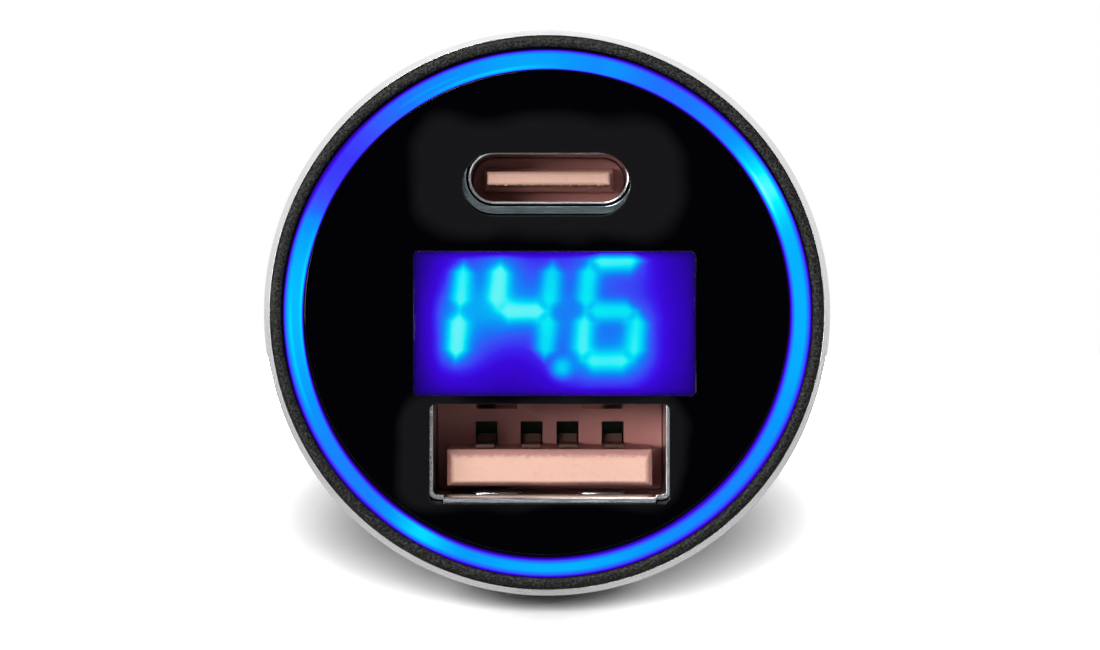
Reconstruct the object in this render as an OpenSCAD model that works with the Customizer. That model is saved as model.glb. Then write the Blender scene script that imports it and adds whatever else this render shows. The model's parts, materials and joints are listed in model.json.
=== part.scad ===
// Car USB charger plug: a metal head with a USB-C port, a voltage display and a USB-A port,
// and a barrel that pushes into a 12 V vehicle socket.
// Every piece is drawn with x to the right, y up and z towards the face, with z = 0 at the
// shoulder where head meets barrel, and seat() then turns it so that the face looks along -Y.

/* [Head] */
// Diameter of the metal housing at the face
head_d = 30.3; // [30.1:0.1:33]
// Length of the head, from the shoulder to the face
head_len = 26.8; // [25:0.1:34]
// Diameter of the housing at the shoulder
rear_d = 26.8; // [26.4:0.1:28]
// Radius on the housing's rear edge
rear_round = 1.2; // [0.4:0.1:1.6]
// Thickness of the housing's rear wall
rear_wall = 1.6; // [1:0.1:2.4]
// Wall of the housing's lip around the bezel
lip_wall = 0.33; // [0.25:0.01:0.5]
// Visible width of the dark bezel
bezel_w = 0.65; // [0.5:0.01:0.8]
// How far the bezel goes down into the lip
bezel_depth = 1.5; // [1:0.1:2]
// How far the bezel stands above the face
bezel_proud = 0.15; // [0:0.01:0.3]
// Visible width of the light ring
ring_w = 1.18; // [1:0.01:1.4]
// Step that holds the light ring under the bezel
ring_step = 0.18; // [0.1:0.01:0.25]
// Thickness of the light ring's step
ring_step_t = 1.1; // [0.6:0.1:2]
// How far the light ring lies below the face
ring_sunk = 0.06; // [0:0.01:0.2]

/* [Face] */
// Thickness of the face plate
face_t = 0.6; // [0.4:0.05:1]
// Thickness of the carrier's top, behind the face plate
carrier_top = 2.2; // [1.5:0.1:4]
// Wall of the carrier's skirt
carrier_wall = 0.8; // [0.5:0.05:1]
// Thickness of the display window
window_t = 0.5; // [0.3:0.05:0.6]
// Width of the display window
window_w = 15.1; // [14:0.1:16]
// Middle of the window, to the right of the axis
window_x = 0.4; // [0:0.05:0.8]
// Share of the height left by the sockets that lies below the lower one
low_share = 0.0778; // [0.06:0.0001:0.1]
// Share of that height that the display window takes
window_share = 0.5433; // [0.52:0.0001:0.56]
// Share of that height between the window and the upper socket
middle_share = 0.1409; // [0.12:0.0001:0.17]

/* [USB-A port] */
// Middle of the socket, to the right of the axis
usb_a_x = 0.14; // [-0.2:0.01:0.3]
// Width of the mouth
usb_a_w = 12.5; // [12.3:0.05:12.6]
// Height of the mouth
usb_a_h = 5.02; // [4.9:0.01:5.12]
// Sheet of the steel shell
usb_a_wall = 0.25; // [0.2:0.01:0.28]
// Depth of the mouth to the back wall
usb_a_depth = 9.4; // [8.8:0.1:10]
// Width of the tongue
tongue_a_w = 11.05; // [10.8:0.05:11.2]
// Thickness of the tongue
tongue_a_t = 2.1; // [1.84:0.01:2.2]
// Gap between the tongue and the lower wall
tongue_a_gap = 0.38; // [0.3:0.01:0.5]
// How far the tongue's end lies inside the mouth
tongue_a_inset = 1.45; // [1:0.05:2]
// How much larger than the mouth the face's cut-out is
usb_a_reveal = 0.32; // [0.2:0.01:0.4]
// How far this socket sits above the middle of its cut-out
usb_a_lift = 0.31; // [0:0.01:0.35]

/* [USB-C port] */
// Middle of the socket, to the right of the axis
usb_c_x = 0.09; // [-0.2:0.01:0.3]
// Width of the mouth
usb_c_w = 8.34; // [8.3:0.01:8.5]
// Height of the mouth
usb_c_h = 2.52; // [2.45:0.01:2.6]
// Sheet of the inner shell
usb_c_wall = 0.17; // [0.12:0.01:0.25]
// Gap between the shell and the shield around it
usb_c_gap = 0.1; // [0.05:0.01:0.15]
// Sheet of the shield
shield_wall = 0.4; // [0.3:0.01:0.5]
// Depth of the mouth to the back wall
usb_c_depth = 6.2; // [5.8:0.1:6.6]
// Width of the tongue
tongue_c_w = 6.6; // [6.4:0.05:6.7]
// Thickness of the tongue
tongue_c_t = 0.7; // [0.6:0.01:0.8]
// How far the tongue's end lies inside the mouth
tongue_c_inset = 0.7; // [0.5:0.05:1.2]
// How much wider than the mouth the face's cut-out is
usb_c_reveal_w = 0.63; // [0.4:0.01:0.8]
// How much higher than the mouth the face's cut-out is
usb_c_reveal_h = 0.85; // [0.5:0.01:1]
// How far this socket sits above the middle of its cut-out
usb_c_lift = 0.38; // [0:0.01:0.4]

/* [Ports in the face] */
// Height of both sockets above the port board
port_len = 12.55; // [12:0.05:13.5]

/* [Display] */
// Width of the display module
module_w = 17; // [16.6:0.1:18]
// Thickness of the display module
module_t = 5.4; // [4:0.1:6.5]
// Distance between digits
digit_pitch = 4.77; // [4.5:0.01:4.9]
// Width of a digit, between the middles of its segments
digit_w = 2.8; // [2.6:0.05:3]
// Height of a digit, between the middles of its segments, as a share of the window's height
digit_share = 0.6903; // [0.66:0.0001:0.7]
// Width of a segment
segment_w = 0.95; // [0.7:0.05:1]
// Slant of the digits, in degrees
digit_slant = 5; // [0:0.5:10]
// Middle of the last digit, to the right of the axis
last_digit_x = 3.46; // [3.2:0.01:3.7]
// Radius of the decimal point
dot_r = 0.48; // [0.3:0.01:0.5]

/* [Boards] */
// Thickness of the main and port boards
board_t = 1.6; // [1.2:0.1:1.8]
// Thickness of the display's board
display_board_t = 1; // [0.6:0.1:1.6]
// Length of the ring LEDs
led_l = 1.6; // [1.2:0.1:2]
// Height of the ring LEDs
led_h = 0.7; // [0.4:0.05:0.8]
// Diameter of the input capacitor
input_cap_d = 8; // [6.3:0.1:8]
// Length of the input capacitor
input_cap_l = 11; // [8:0.5:11.5]
// Diameter of the output capacitors
output_cap_d = 5; // [4:0.1:5.5]
// Length of the output capacitors
output_cap_l = 9; // [7:0.5:9.5]
// Side of the inductor
inductor_w = 10; // [7:0.1:10.5]
// Height of the inductor
inductor_h = 4; // [3:0.1:5]

/* [Barrel] */
// Diameter of the barrel where the socket guides it
barrel_d = 20.8; // [20.7:0.01:20.9]
// Length of that plain stretch, from the shoulder
plain_len = 11.5; // [10:0.1:13]
// How much smaller the radius is past the plain stretch
barrel_relief = 0.3; // [0.25:0.01:0.4]
// Inner diameter of the barrel
barrel_bore_d = 18.6; // [18.4:0.05:18.8]
// Length of the barrel, from the shoulder to the nose cap
barrel_len = 36; // [34.5:0.1:42]
// Length of the nose cap outside the barrel
nose_len = 4.2; // [3.5:0.1:6]
// Diameter of the nose cap's end
nose_d = 14.8; // [13:0.1:17]
// Thickness of the nose cap's end wall
nose_wall = 1.6; // [1.2:0.1:2.2]

/* [Contacts] */
// Diameter of the tip contact
tip_d = 6.6; // [5:0.1:7]
// How far the tip stands out of the nose
tip_out = 4; // [3.4:0.1:6]
// Diameter of the tip's flange inside the nose
tip_flange_d = 9.4; // [8:0.1:10]
// Thickness of the tip's flange
tip_flange_t = 1.2; // [0.8:0.1:1.6]
// Wire of the tip spring
spring_wire = 0.6; // [0.4:0.05:0.7]
// Mean diameter of the tip spring
spring_d = 5.4; // [5:0.1:6.5]
// Length of the tip spring at rest
spring_len = 8.5; // [7.5:0.1:9.5]
// Turns of the tip spring
spring_turns = 5; // [3:1:6]
// Width of a side contact
side_w = 4; // [3:0.1:4.2]
// Sheet of a side contact
side_t = 0.3; // [0.2:0.05:0.4]
// How far a side contact's crown stands out from the axis
side_crown = 11.35; // [10.9:0.05:11.5]
// Gap between a side contact's tail and the nose cap inside the barrel
side_gap = 1.9; // [1.5:0.1:3]
// Diameter of a side contact's pin
pin_d = 0.6; // [0.5:0.05:0.65]

/* [Hidden] */
$fn = 96;

// Clearance of a pressed or glued fit, of a loose fit, and of a sliding fit
fit = 0.03;
loose = 0.1;
slide = 0.08;
// Overshoot of every cutting tool
cut = 1;

// Radii of the head, from the outside in
head_r = head_d / 2;
lip_r = head_r - lip_wall;
ring_r = lip_r - bezel_w;
face_r = ring_r - ring_w - fit;
bore_r = ring_r + ring_step;
carrier_r = face_r - fit;
skirt_r = carrier_r - carrier_wall;
rear_r = rear_d / 2;
// Diamond-cut edge around the lip
lip_cut = 0.3;
lip_land = 0.02;

// Heights of the head, from the face down
face_z = head_len;
plate_z = face_z - face_t;
port_z = plate_z - fit;
board_z = port_z - port_len;
ledge_z = board_z - board_t;
bezel_z = face_z - bezel_depth;
taper_z = ledge_z - 1;

// The barrel inside the head: it fills the housing from its rear wall to the port board
barrel_r = barrel_d / 2;
slim_r = barrel_r - barrel_relief;
barrel_bore_r = barrel_bore_d / 2;
root_r = barrel_r + 0.2;
collar_r = rear_r - 1.4;
collar_wall = 1.1;
collar_floor = rear_wall + 1.6;

// Sockets and their cut-outs
usb_a_out_w = usb_a_w + 2 * usb_a_wall;
usb_a_out_h = usb_a_h + 2 * usb_a_wall;
usb_a_round = 0.5;
usb_a_cut_w = usb_a_w + usb_a_reveal;
usb_a_cut_h = usb_a_h + usb_a_reveal;
usb_a_corner = 0.35;
usb_a_back = port_z - usb_a_depth;
tongue_a_y = -usb_a_h / 2 + tongue_a_gap + tongue_a_t / 2;
tongue_a_bevel = 0.36;
contact_xs = [-3.5, -1, 1, 3.5];
contact_w = 1;
contact_t = 0.16;
slot_a_w = 1.2;
slot_a_h = 1.28;
lip_a_w = usb_a_w - 1.1;
lip_a_t = 0.22;
lip_a_z = port_z - 0.5;
lip_a_reach = usb_a_h / 2 + 2 * usb_a_wall;
spring_a_x = 2.85;
spring_a_w = 2.7;
spring_a_l = 5.2;
usb_c_shell_w = usb_c_w + 2 * usb_c_wall;
usb_c_shell_h = usb_c_h + 2 * usb_c_wall;
shield_in_w = usb_c_shell_w + 2 * usb_c_gap;
shield_in_h = usb_c_shell_h + 2 * usb_c_gap;
shield_w = shield_in_w + 2 * shield_wall;
shield_h = shield_in_h + 2 * shield_wall;
usb_c_back = port_z - usb_c_depth;
tongue_c_bevel = 0.12;
tongue_c_root = 1.2;
strip_pitch = 0.5;
strip_count = 12;
strip_w = 0.26;
strip_t = 0.05;
strip_end_z = port_z - tongue_c_inset - tongue_c_bevel - 0.4;
usb_c_cut_shift = -0.13;

// Layout of the face: the sockets could reach from face_low to face_high, where they would
// touch its edge, and the height that they leave is shared by the window and the margins
face_low = -sqrt(pow(face_r, 2) - pow(usb_a_out_w / 2 + abs(usb_a_x), 2));
shield_end_x = (shield_w - shield_h) / 2 + abs(usb_c_x);
face_high = sqrt(pow(face_r - shield_h / 2, 2) - pow(shield_end_x, 2)) + shield_h / 2;
left_h = face_high - face_low - usb_a_out_h - fit - shield_h;
usb_a_y = face_low + low_share * left_h + usb_a_out_h / 2;
window_h = window_share * left_h;
window_y = usb_a_y + usb_a_out_h / 2 + fit + window_h / 2;
usb_c_y = window_y + window_h / 2 + middle_share * left_h + shield_h / 2;

// Display behind the window
window_corner = 0.3;
module_h = window_h;
digit_top_gap = 0.055;
digit_h = digit_share * window_h;
digit_y = window_y + (window_h - digit_h - segment_w) / 2 - digit_top_gap;
point_x = 0.95;
point_drop = 0.36;
digit_z = plate_z - fit;
segment_t = 0.6;
segment_gap = 0.14;
slant = tan(digit_slant);
display_board_z = digit_z - module_t;
display_pin_w = 0.5;
display_pin_pitch = 2.54;
display_pin_xs = [for (i = [-2:2]) i * display_pin_pitch];
display_pin_y = window_y + module_h / 2 - 1;
DIGITS = [["b", "c"], ["b", "c", "f", "g"], ["a", "c", "d", "e", "f", "g"]];
SEGMENTS = ["a", "b", "c", "d", "e", "f", "g"];

// Light ring: its foot stands just above the ring LEDs
port_board_r = bore_r - loose;
ring_foot_z = board_z + led_h + 0.15;
led_r = (ring_r + face_r) / 2;
led_w = 0.8;
led_angles = [30, 95, 180, 240, 290, 350];

// Main board: wide in the head, narrow between the side contacts
board_w = 2 * (barrel_bore_r - 0.3);
board_neck_z = -plain_len + 0.7;
board_neck_w = 11.2;
tab_w = 3;
tab_x = 4.5;

// Nose, tip and spring
nose_z = -barrel_len - nose_len;
nose_floor = nose_z + nose_wall;
nose_spigot = 4;
nose_r = nose_d / 2;
nose_rim_r = slim_r - 0.35;
tip_r = tip_d / 2;
tip_flange_z = nose_floor + tip_flange_t;
seat_z = tip_flange_z + spring_len;
seat_r = spring_d / 2 + 1.7;
seat_t = 0.8;
spigot_r = spring_d / 2 - spring_wire / 2 - 0.35;
spigot_l = 1.6;
board_end_z = seat_z + seat_t;

// Side contacts: a rolled eye on a pin, a crowned leaf, and a tail under the barrel's wall
pivot_r = 9.4;
pivot_z = -plain_len - 1.4;
eye_r = 0.62;
side_slot_w = side_w + 0.6;
side_len = pivot_z + barrel_len - nose_spigot - side_gap;
side_slot_start = pivot_z + 1.1;
side_slot_l = side_len - 0.8;
tail_r = sqrt(pow(barrel_bore_r, 2) - pow(side_w / 2, 2)) - 0.13;
pin_len = side_slot_w + 1.6;

// Parts on the main board: width, height off the board and length along the barrel, in this
// order, and the place of each part's middle or lower end
top_y = board_t / 2;
inductor_z = 4.5;
input_cap_z = board_end_z + 2.5;
output_cap_z = -9.5;
output_cap_gap = 0.4;
chip_size = [3.9, 1.35, 4.9];
chip_x = 3.6;
chip_z = -5.5;
chip_lift = 0.15;
leg_pitch = 1.27;
leg_w = 0.42;
leg_t = 0.2;
leg_span = 5.4;
leg_foot = 0.5;
controller_w = 4;
controller_h = 0.9;
controller_z = 5;
fuse_size = [1.6, 1, 3.2];
fuse_z = board_end_z + 4;
diode_size = [3.6, 2.2, 4.6];
diode_z = board_end_z + 10;
chip_cap_size = [1.2, 0.8, 2];
chip_cap_x = 6.4;
chip_cap_zs = [-8.5, 6, 9];

// Points of an arc around (x, y), from angle a to angle b
function arc(x, y, r, a, b, n = 5) =
    [for (i = [0:n]) let (t = a + (b - a) * i / n) [x + r * cos(t), y + r * sin(t)]];

// A point of a digit, leaning with the digits' slant
function leaning(x, y) = [x + y * slant, y];

// Middle of the digit with this number, counted from the left
function digit_x(i) = last_digit_x - (len(DIGITS) - 1 - i) * digit_pitch;

// Whether a digit lights a segment
function is_lit(i, name) = len([for (s = DIGITS[i]) if (s == name) s]) > 0;

// Outline of one segment, as a bar with pointed ends between two points of the digit
function bar(p, q) =
    let (u = (q - p) / norm(q - p), v = [-u.y, u.x], h = segment_w / 2, g = segment_gap)
    [
        for (c = [p + u * g, p + u * (h + g) + v * h, q - u * (h + g) + v * h,
                  q - u * g, q - u * (h + g) - v * h, p + u * (h + g) - v * h])
            leaning(c.x, c.y)
    ];

// Corner points between which each segment runs, around the digit's middle
function segment_ends(name) =
    let (x = digit_w / 2, y = digit_h / 2)
    name == "a" ? [[-x, y], [x, y]] :
    name == "b" ? [[x, y], [x, 0]] :
    name == "c" ? [[x, 0], [x, -y]] :
    name == "d" ? [[x, -y], [-x, -y]] :
    name == "e" ? [[-x, -y], [-x, 0]] :
    name == "f" ? [[-x, 0], [-x, y]] :
    [[-x, 0], [x, 0]];

module seat() {
    rotate([90, 0, 0]) children();
}

module revolve(points) {
    rotate_extrude() polygon(points);
}

// Solid between two heights, from a flat outline
module slab(low, high) {
    translate([0, 0, low]) linear_extrude(high - low) children();
}

module rounded_rect(w, h, r) {
    square([w - 2 * r, h], center = true);
    square([w, h - 2 * r], center = true);
    for (x = [-1, 1], y = [-1, 1]) {
        translate([x * (w / 2 - r), y * (h / 2 - r)]) circle(r);
    }
}

// Rectangle with fully round ends
module oblong(w, h) {
    square([w - h, h], center = true);
    for (x = [-1, 1]) translate([x * (w - h) / 2, 0]) circle(h / 2);
}

// Outline in the plane of z and y, extruded along x and centred on it
module side_profile(w, points) {
    rotate([0, -90, 0]) translate([0, 0, -w / 2]) linear_extrude(w) polygon(points);
}

// Block whose four front edges are bevelled, from z low to z high
module bevelled_tongue(w, t, low, high, bevel) {
    intersection() {
        side_profile(w, [
            [low, -t / 2], [high - bevel, -t / 2], [high, -t / 2 + bevel],
            [high, t / 2 - bevel], [high - bevel, t / 2], [low, t / 2]
        ]);
        rotate([90, 0, 0]) translate([0, 0, -t / 2 - cut]) linear_extrude(t + 2 * cut) polygon([
            [-w / 2, low], [w / 2, low], [w / 2, high - bevel], [w / 2 - bevel, high],
            [-w / 2 + bevel, high], [-w / 2, high - bevel]
        ]);
    }
}

module housing() {
    color("Gainsboro") seat() revolve(concat(
        [[root_r + fit, 0]],
        arc(rear_r - rear_round, rear_round, rear_round, -90, 0),
        [
            [head_r, taper_z], [head_r, face_z - lip_cut], [lip_r + lip_land, face_z],
            [lip_r, face_z], [lip_r, bezel_z], [bore_r, bezel_z], [bore_r, ledge_z],
            [collar_r + fit, ledge_z], [collar_r + fit, rear_wall], [root_r + fit, rear_wall]
        ]
    ));
}

module bezel() {
    r_in = ring_r + fit;
    r_out = lip_r - fit;
    round_r = (r_out - r_in) * 0.42;
    top = face_z + bezel_proud;
    color("DimGray") seat() revolve(concat(
        [[r_in, bezel_z], [r_out, bezel_z]],
        arc(r_out - round_r, top - round_r, round_r, 0, 90),
        arc(r_in + round_r, top - round_r, round_r, 90, 180)
    ));
}

module light_ring() {
    r_in = face_r + fit;
    step_z = bezel_z - fit;
    color("DodgerBlue") seat() revolve([
        [r_in, ring_foot_z], [ring_r, ring_foot_z], [ring_r, step_z - ring_step_t],
        [bore_r - fit, step_z - ring_step_t], [bore_r - fit, step_z], [ring_r, step_z],
        [ring_r, face_z - ring_sunk], [r_in, face_z - ring_sunk]
    ]);
}

// Outline of the face's cut-out for the lower socket
module usb_a_cut() {
    translate([usb_a_x, usb_a_y - usb_a_lift])
        rounded_rect(usb_a_cut_w, usb_a_cut_h, usb_a_corner);
}

// Outline of the face's cut-out for the upper socket
module usb_c_cut() {
    translate([usb_c_x + usb_c_cut_shift, usb_c_y - usb_c_lift])
        oblong(usb_c_w + usb_c_reveal_w, usb_c_h + usb_c_reveal_h);
}

module window_outline(grow) {
    translate([window_x, window_y])
        rounded_rect(window_w + 2 * grow, window_h + 2 * grow, window_corner + grow);
}

module face_plate() {
    color("Black") seat() slab(plate_z, face_z) difference() {
        circle(face_r);
        usb_a_cut();
        usb_c_cut();
        window_outline(0);
    }
}

module display_window() {
    color([0.25, 0.1, 0.7, 0.6]) seat() slab(face_z - window_t, face_z) window_outline(-fit);
}

// Segments of every digit whose lit state is the one asked for
module digit_segments(lit) {
    for (i = [0:len(DIGITS) - 1], s = SEGMENTS) {
        if (is_lit(i, s) == lit) {
            ends = segment_ends(s);
            translate([digit_x(i), digit_y]) polygon(bar(ends[0], ends[1]));
        }
    }
}

// Decimal point after one digit
module decimal_point(i) {
    foot = leaning(digit_w / 2 + point_x, -digit_h / 2 - point_drop);
    translate([digit_x(i) + foot.x, digit_y + foot.y]) circle(dot_r);
}

module lit_outline() {
    digit_segments(true);
    decimal_point(1);
}

module unlit_outline() {
    digit_segments(false);
    decimal_point(0);
    decimal_point(2);
}

module lit_segments() {
    color("Cyan") seat() slab(digit_z - segment_t, digit_z) lit_outline();
}

module unlit_segments() {
    color("MidnightBlue") seat() slab(digit_z - segment_t, digit_z) unlit_outline();
}

module display_module() {
    color("Indigo") seat() difference() {
        slab(digit_z - module_t, digit_z)
            translate([0, window_y]) square([module_w, module_h], center = true);
        slab(digit_z - segment_t, digit_z + cut) lit_outline();
        slab(digit_z - segment_t, digit_z + cut) unlit_outline();
    }
}

module display_board() {
    color("DarkGreen") seat() difference() {
        slab(display_board_z - display_board_t, display_board_z)
            translate([0, window_y]) square([module_w, module_h], center = true);
        display_pin_holes();
    }
}

module display_pin_holes() {
    for (x = display_pin_xs) {
        translate([x, display_pin_y, display_board_z - display_board_t / 2])
            cube([display_pin_w + 2 * fit, display_pin_w + 2 * fit, display_board_t * 3],
                center = true);
    }
}

module display_pins() {
    color("Gold") seat() for (x = display_pin_xs) {
        slab(board_z, display_board_z) translate([x, display_pin_y])
            square(display_pin_w, center = true);
    }
}

module face_carrier() {
    floor_z = plate_z - carrier_top;
    color([0.12, 0.12, 0.13]) seat() difference() {
        slab(board_z, plate_z) circle(carrier_r);
        slab(board_z - cut, floor_z) circle(skirt_r);
        slab(board_z - cut, plate_z + cut) {
            translate([usb_a_x, usb_a_y]) rounded_rect(
                usb_a_out_w + 2 * loose, usb_a_out_h + 2 * loose, usb_a_round + loose);
            translate([usb_c_x, usb_c_y]) oblong(shield_w + 2 * loose, shield_h + 2 * loose);
            translate([0, window_y])
                square([module_w + 2 * loose, module_h + 2 * loose], center = true);
        }
        // Relief in the top for the flared lip of the lower socket
        slab(plate_z - 2 * lip_a_t, plate_z + cut)
            translate([usb_a_x - lip_a_w / 2 - loose, usb_a_y - lip_a_reach - loose])
                square([lip_a_w + 2 * loose, lip_a_reach]);
    }
}

// Flared lip on the lower long side of the lower socket
module flared_lip() {
    y = -usb_a_h / 2;
    side_profile(lip_a_w, [
        [lip_a_z, y], [port_z - lip_a_t - 0.12, y], [port_z, y - 0.16], [port_z, -lip_a_reach],
        [port_z - lip_a_t, -lip_a_reach], [lip_a_z, y - usb_a_wall]
    ]);
}

// Spring finger of the lower socket: it grows out of the wall and leans into the mouth
module spring_finger(x, s, reach) {
    y = usb_a_h / 2;
    root = port_z - 1 - spring_a_l;
    tip = port_z - 1.5;
    translate([x, 0, 0]) side_profile(spring_a_w - 0.5, [
        [root - 0.2, s * y], [root + 0.3, s * y], [tip - 1.2, s * (y - reach)],
        [tip, s * (y - reach * 0.3)], [tip, s * (y - reach * 0.3 + usb_a_wall)],
        [tip - 1.2, s * (y - reach + usb_a_wall)], [root + 0.3, s * (y + usb_a_wall)],
        [root - 0.2, s * (y + usb_a_wall)]
    ]);
}

module usb_a_shell() {
    color("Silver") seat() translate([usb_a_x, usb_a_y, 0]) {
        difference() {
            union() {
                slab(board_z, lip_a_z) rounded_rect(usb_a_out_w, usb_a_out_h, usb_a_round);
                slab(lip_a_z - fit, port_z) difference() {
                    rounded_rect(usb_a_out_w, usb_a_out_h, usb_a_round);
                    translate([-lip_a_w / 2, -usb_a_out_h]) square([lip_a_w, usb_a_out_h]);
                }
            }
            slab(board_z - cut, port_z + cut) rounded_rect(usb_a_w, usb_a_h, 0.25);
            for (x = [-spring_a_x, spring_a_x]) {
                translate([x, 0, port_z - 1 - spring_a_l / 2])
                    cube([spring_a_w, usb_a_out_h + 2 * cut, spring_a_l], center = true);
            }
        }
        flared_lip();
        for (x = [-spring_a_x, spring_a_x]) {
            spring_finger(x, 1, 0.45);
            spring_finger(x, -1, 0.2);
        }
    }
}

module usb_a_insulator() {
    block_w = usb_a_w - 2 * fit;
    block_h = usb_a_h - 2 * fit;
    tongue_top = tongue_a_y + tongue_a_t / 2;
    color("DarkSalmon") seat() translate([usb_a_x, usb_a_y, 0]) difference() {
        union() {
            slab(board_z, usb_a_back) rounded_rect(block_w, block_h, 0.25);
            translate([0, tongue_a_y, 0])
                bevelled_tongue(tongue_a_w, tongue_a_t, usb_a_back - cut,
                    port_z - tongue_a_inset, tongue_a_bevel);
        }
        for (x = contact_xs) {
            slab(board_z - cut, usb_a_back + cut) translate([x, tongue_top + slot_a_h / 2])
                square([slot_a_w, slot_a_h], center = true);
        }
        for (x = [-3.1, 3.1]) {
            slab(usb_a_back - 1.2, usb_a_back + cut) translate([x, block_h / 2])
                square([1.95, 0.98], center = true);
        }
    }
}

module usb_a_contacts() {
    tongue_top = tongue_a_y + tongue_a_t / 2;
    front = port_z - tongue_a_inset - tongue_a_bevel - 0.5;
    rise_z = usb_a_back - 0.7;
    color("Goldenrod") seat() translate([usb_a_x, usb_a_y, 0]) for (x = contact_xs) {
        translate([x, 0, 0]) {
            slab(board_z, front) translate([0, tongue_top + contact_t / 2])
                square([contact_w, contact_t], center = true);
            slab(rise_z - 0.5, rise_z) translate([0, tongue_top + 0.3])
                square([contact_w, 0.6], center = true);
        }
    }
}

module usb_c_shield() {
    color("LightSteelBlue") seat() translate([usb_c_x, usb_c_y, 0])
        slab(board_z, port_z) difference() {
            oblong(shield_w, shield_h);
            oblong(shield_in_w, shield_in_h);
        }
}

module usb_c_shell() {
    color("Silver") seat() translate([usb_c_x, usb_c_y, 0])
        slab(board_z, port_z) difference() {
            oblong(usb_c_shell_w, usb_c_shell_h);
            oblong(usb_c_w, usb_c_h);
        }
}

module usb_c_insulator() {
    color("DarkSalmon") seat() translate([usb_c_x, usb_c_y, 0]) {
        slab(board_z, usb_c_back) oblong(usb_c_w - 2 * fit, usb_c_h - 2 * fit);
        bevelled_tongue(tongue_c_w + 0.5, tongue_c_t + 0.6, usb_c_back - cut,
            usb_c_back + tongue_c_root, tongue_c_bevel);
        bevelled_tongue(tongue_c_w, tongue_c_t, usb_c_back - cut,
            port_z - tongue_c_inset, tongue_c_bevel);
    }
}

module usb_c_contacts() {
    color("Goldenrod") seat() translate([usb_c_x, usb_c_y, 0])
        for (i = [0:strip_count - 1], s = [-1, 1]) {
            x = (i - (strip_count - 1) / 2) * strip_pitch;
            slab(usb_c_back + tongue_c_root, strip_end_z)
                translate([x, s * (tongue_c_t + strip_t) / 2])
                    square([strip_w, strip_t], center = true);
        }
}

module port_board() {
    color("DarkGreen") seat() slab(ledge_z, board_z) difference() {
        circle(port_board_r);
        for (x = [-tab_x, tab_x]) {
            translate([x, 0]) square([tab_w + 2 * loose, board_t + 2 * loose], center = true);
        }
    }
}

module ring_leds() {
    color("AliceBlue") seat() for (a = led_angles) {
        rotate([0, 0, a]) slab(board_z, board_z + led_h) translate([led_r, 0])
            square([led_w, led_l], center = true);
    }
}

module main_board() {
    color("DarkGreen") seat() rotate([90, 0, 0]) slab(-board_t / 2, board_t / 2) polygon([
        [-board_neck_w / 2, board_end_z], [board_neck_w / 2, board_end_z],
        [board_neck_w / 2, board_neck_z], [board_w / 2, board_neck_z], [board_w / 2, ledge_z],
        [tab_x + tab_w / 2, ledge_z], [tab_x + tab_w / 2, board_z], [tab_x - tab_w / 2, board_z],
        [tab_x - tab_w / 2, ledge_z], [-tab_x + tab_w / 2, ledge_z],
        [-tab_x + tab_w / 2, board_z], [-tab_x - tab_w / 2, board_z],
        [-tab_x - tab_w / 2, ledge_z], [-board_w / 2, ledge_z], [-board_w / 2, board_neck_z],
        [-board_neck_w / 2, board_neck_z]
    ]);
}

// Can of a capacitor lying along the barrel, on the board's upper (s = 1) or lower (s = -1) face
module lying_can(x, z, d, l, s) {
    neck = 0.25;
    translate([x, s * (top_y + d / 2), z]) revolve([
        [0, 0], [d / 2 - neck, 0], [d / 2, neck], [d / 2, 1.2], [d / 2 - neck, 1.5],
        [d / 2, 1.8], [d / 2, l - neck], [d / 2 - neck, l], [0, l]
    ]);
}

module inductor() {
    color([0.2, 0.2, 0.22]) seat() translate([0, top_y, inductor_z]) rotate([-90, 0, 0]) {
        linear_extrude(inductor_h) rounded_rect(inductor_w, inductor_w, 1.4);
    }
}

module input_capacitor() {
    color("SteelBlue") seat() lying_can(0, input_cap_z, input_cap_d, input_cap_l, 1);
}

module output_capacitors() {
    color("SteelBlue") seat() for (x = [-1, 1]) {
        lying_can(x * (output_cap_d + output_cap_gap) / 2, output_cap_z, output_cap_d,
            output_cap_l, -1);
    }
}

// Small chip with two rows of legs, standing on the board's upper or lower face
module leaded_chip(x, z, s) {
    half_h = chip_size.y / 2;
    foot_h = chip_lift + 1.5 * leg_t;
    foot_x = (leg_span + leg_foot) / 2 - 0.1;
    translate([x, s * (top_y + chip_lift + half_h), z]) {
        cube(chip_size, center = true);
        for (i = [-1.5:1:1.5]) {
            translate([0, -s * (half_h - leg_t), i * leg_pitch])
                cube([leg_span, leg_t, leg_w], center = true);
            for (e = [-1, 1]) {
                translate([e * foot_x, -s * (half_h + chip_lift - foot_h / 2), i * leg_pitch])
                    cube([leg_foot, foot_h, leg_w], center = true);
            }
        }
    }
}

module converter_chips() {
    color([0.1, 0.1, 0.1]) seat() {
        leaded_chip(-chip_x, chip_z, 1);
        leaded_chip(chip_x, chip_z, 1);
    }
}

// Block that lies on the board's lower face
module low_block(x, z, size) {
    translate([x, -top_y - size.y / 2, z]) cube(size, center = true);
}

module charge_controller() {
    color([0.1, 0.1, 0.1]) seat()
        low_block(0, controller_z, [controller_w, controller_h, controller_w]);
}

module fuse() {
    color("OldLace") seat() low_block(0, fuse_z, fuse_size);
}

module surge_diode() {
    color([0.13, 0.13, 0.13]) seat() low_block(0, diode_z, diode_size);
}

module chip_capacitors() {
    color("Tan") seat() for (x = [-chip_cap_x, chip_cap_x], z = chip_cap_zs) {
        low_block(x, z, chip_cap_size);
    }
}

// The cut through the barrel's wall for one side contact, on the right
module side_slot() {
    translate([barrel_bore_r - 0.9, -side_slot_w / 2, side_slot_start - side_slot_l])
        cube([4, side_slot_w, side_slot_l]);
}

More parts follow.
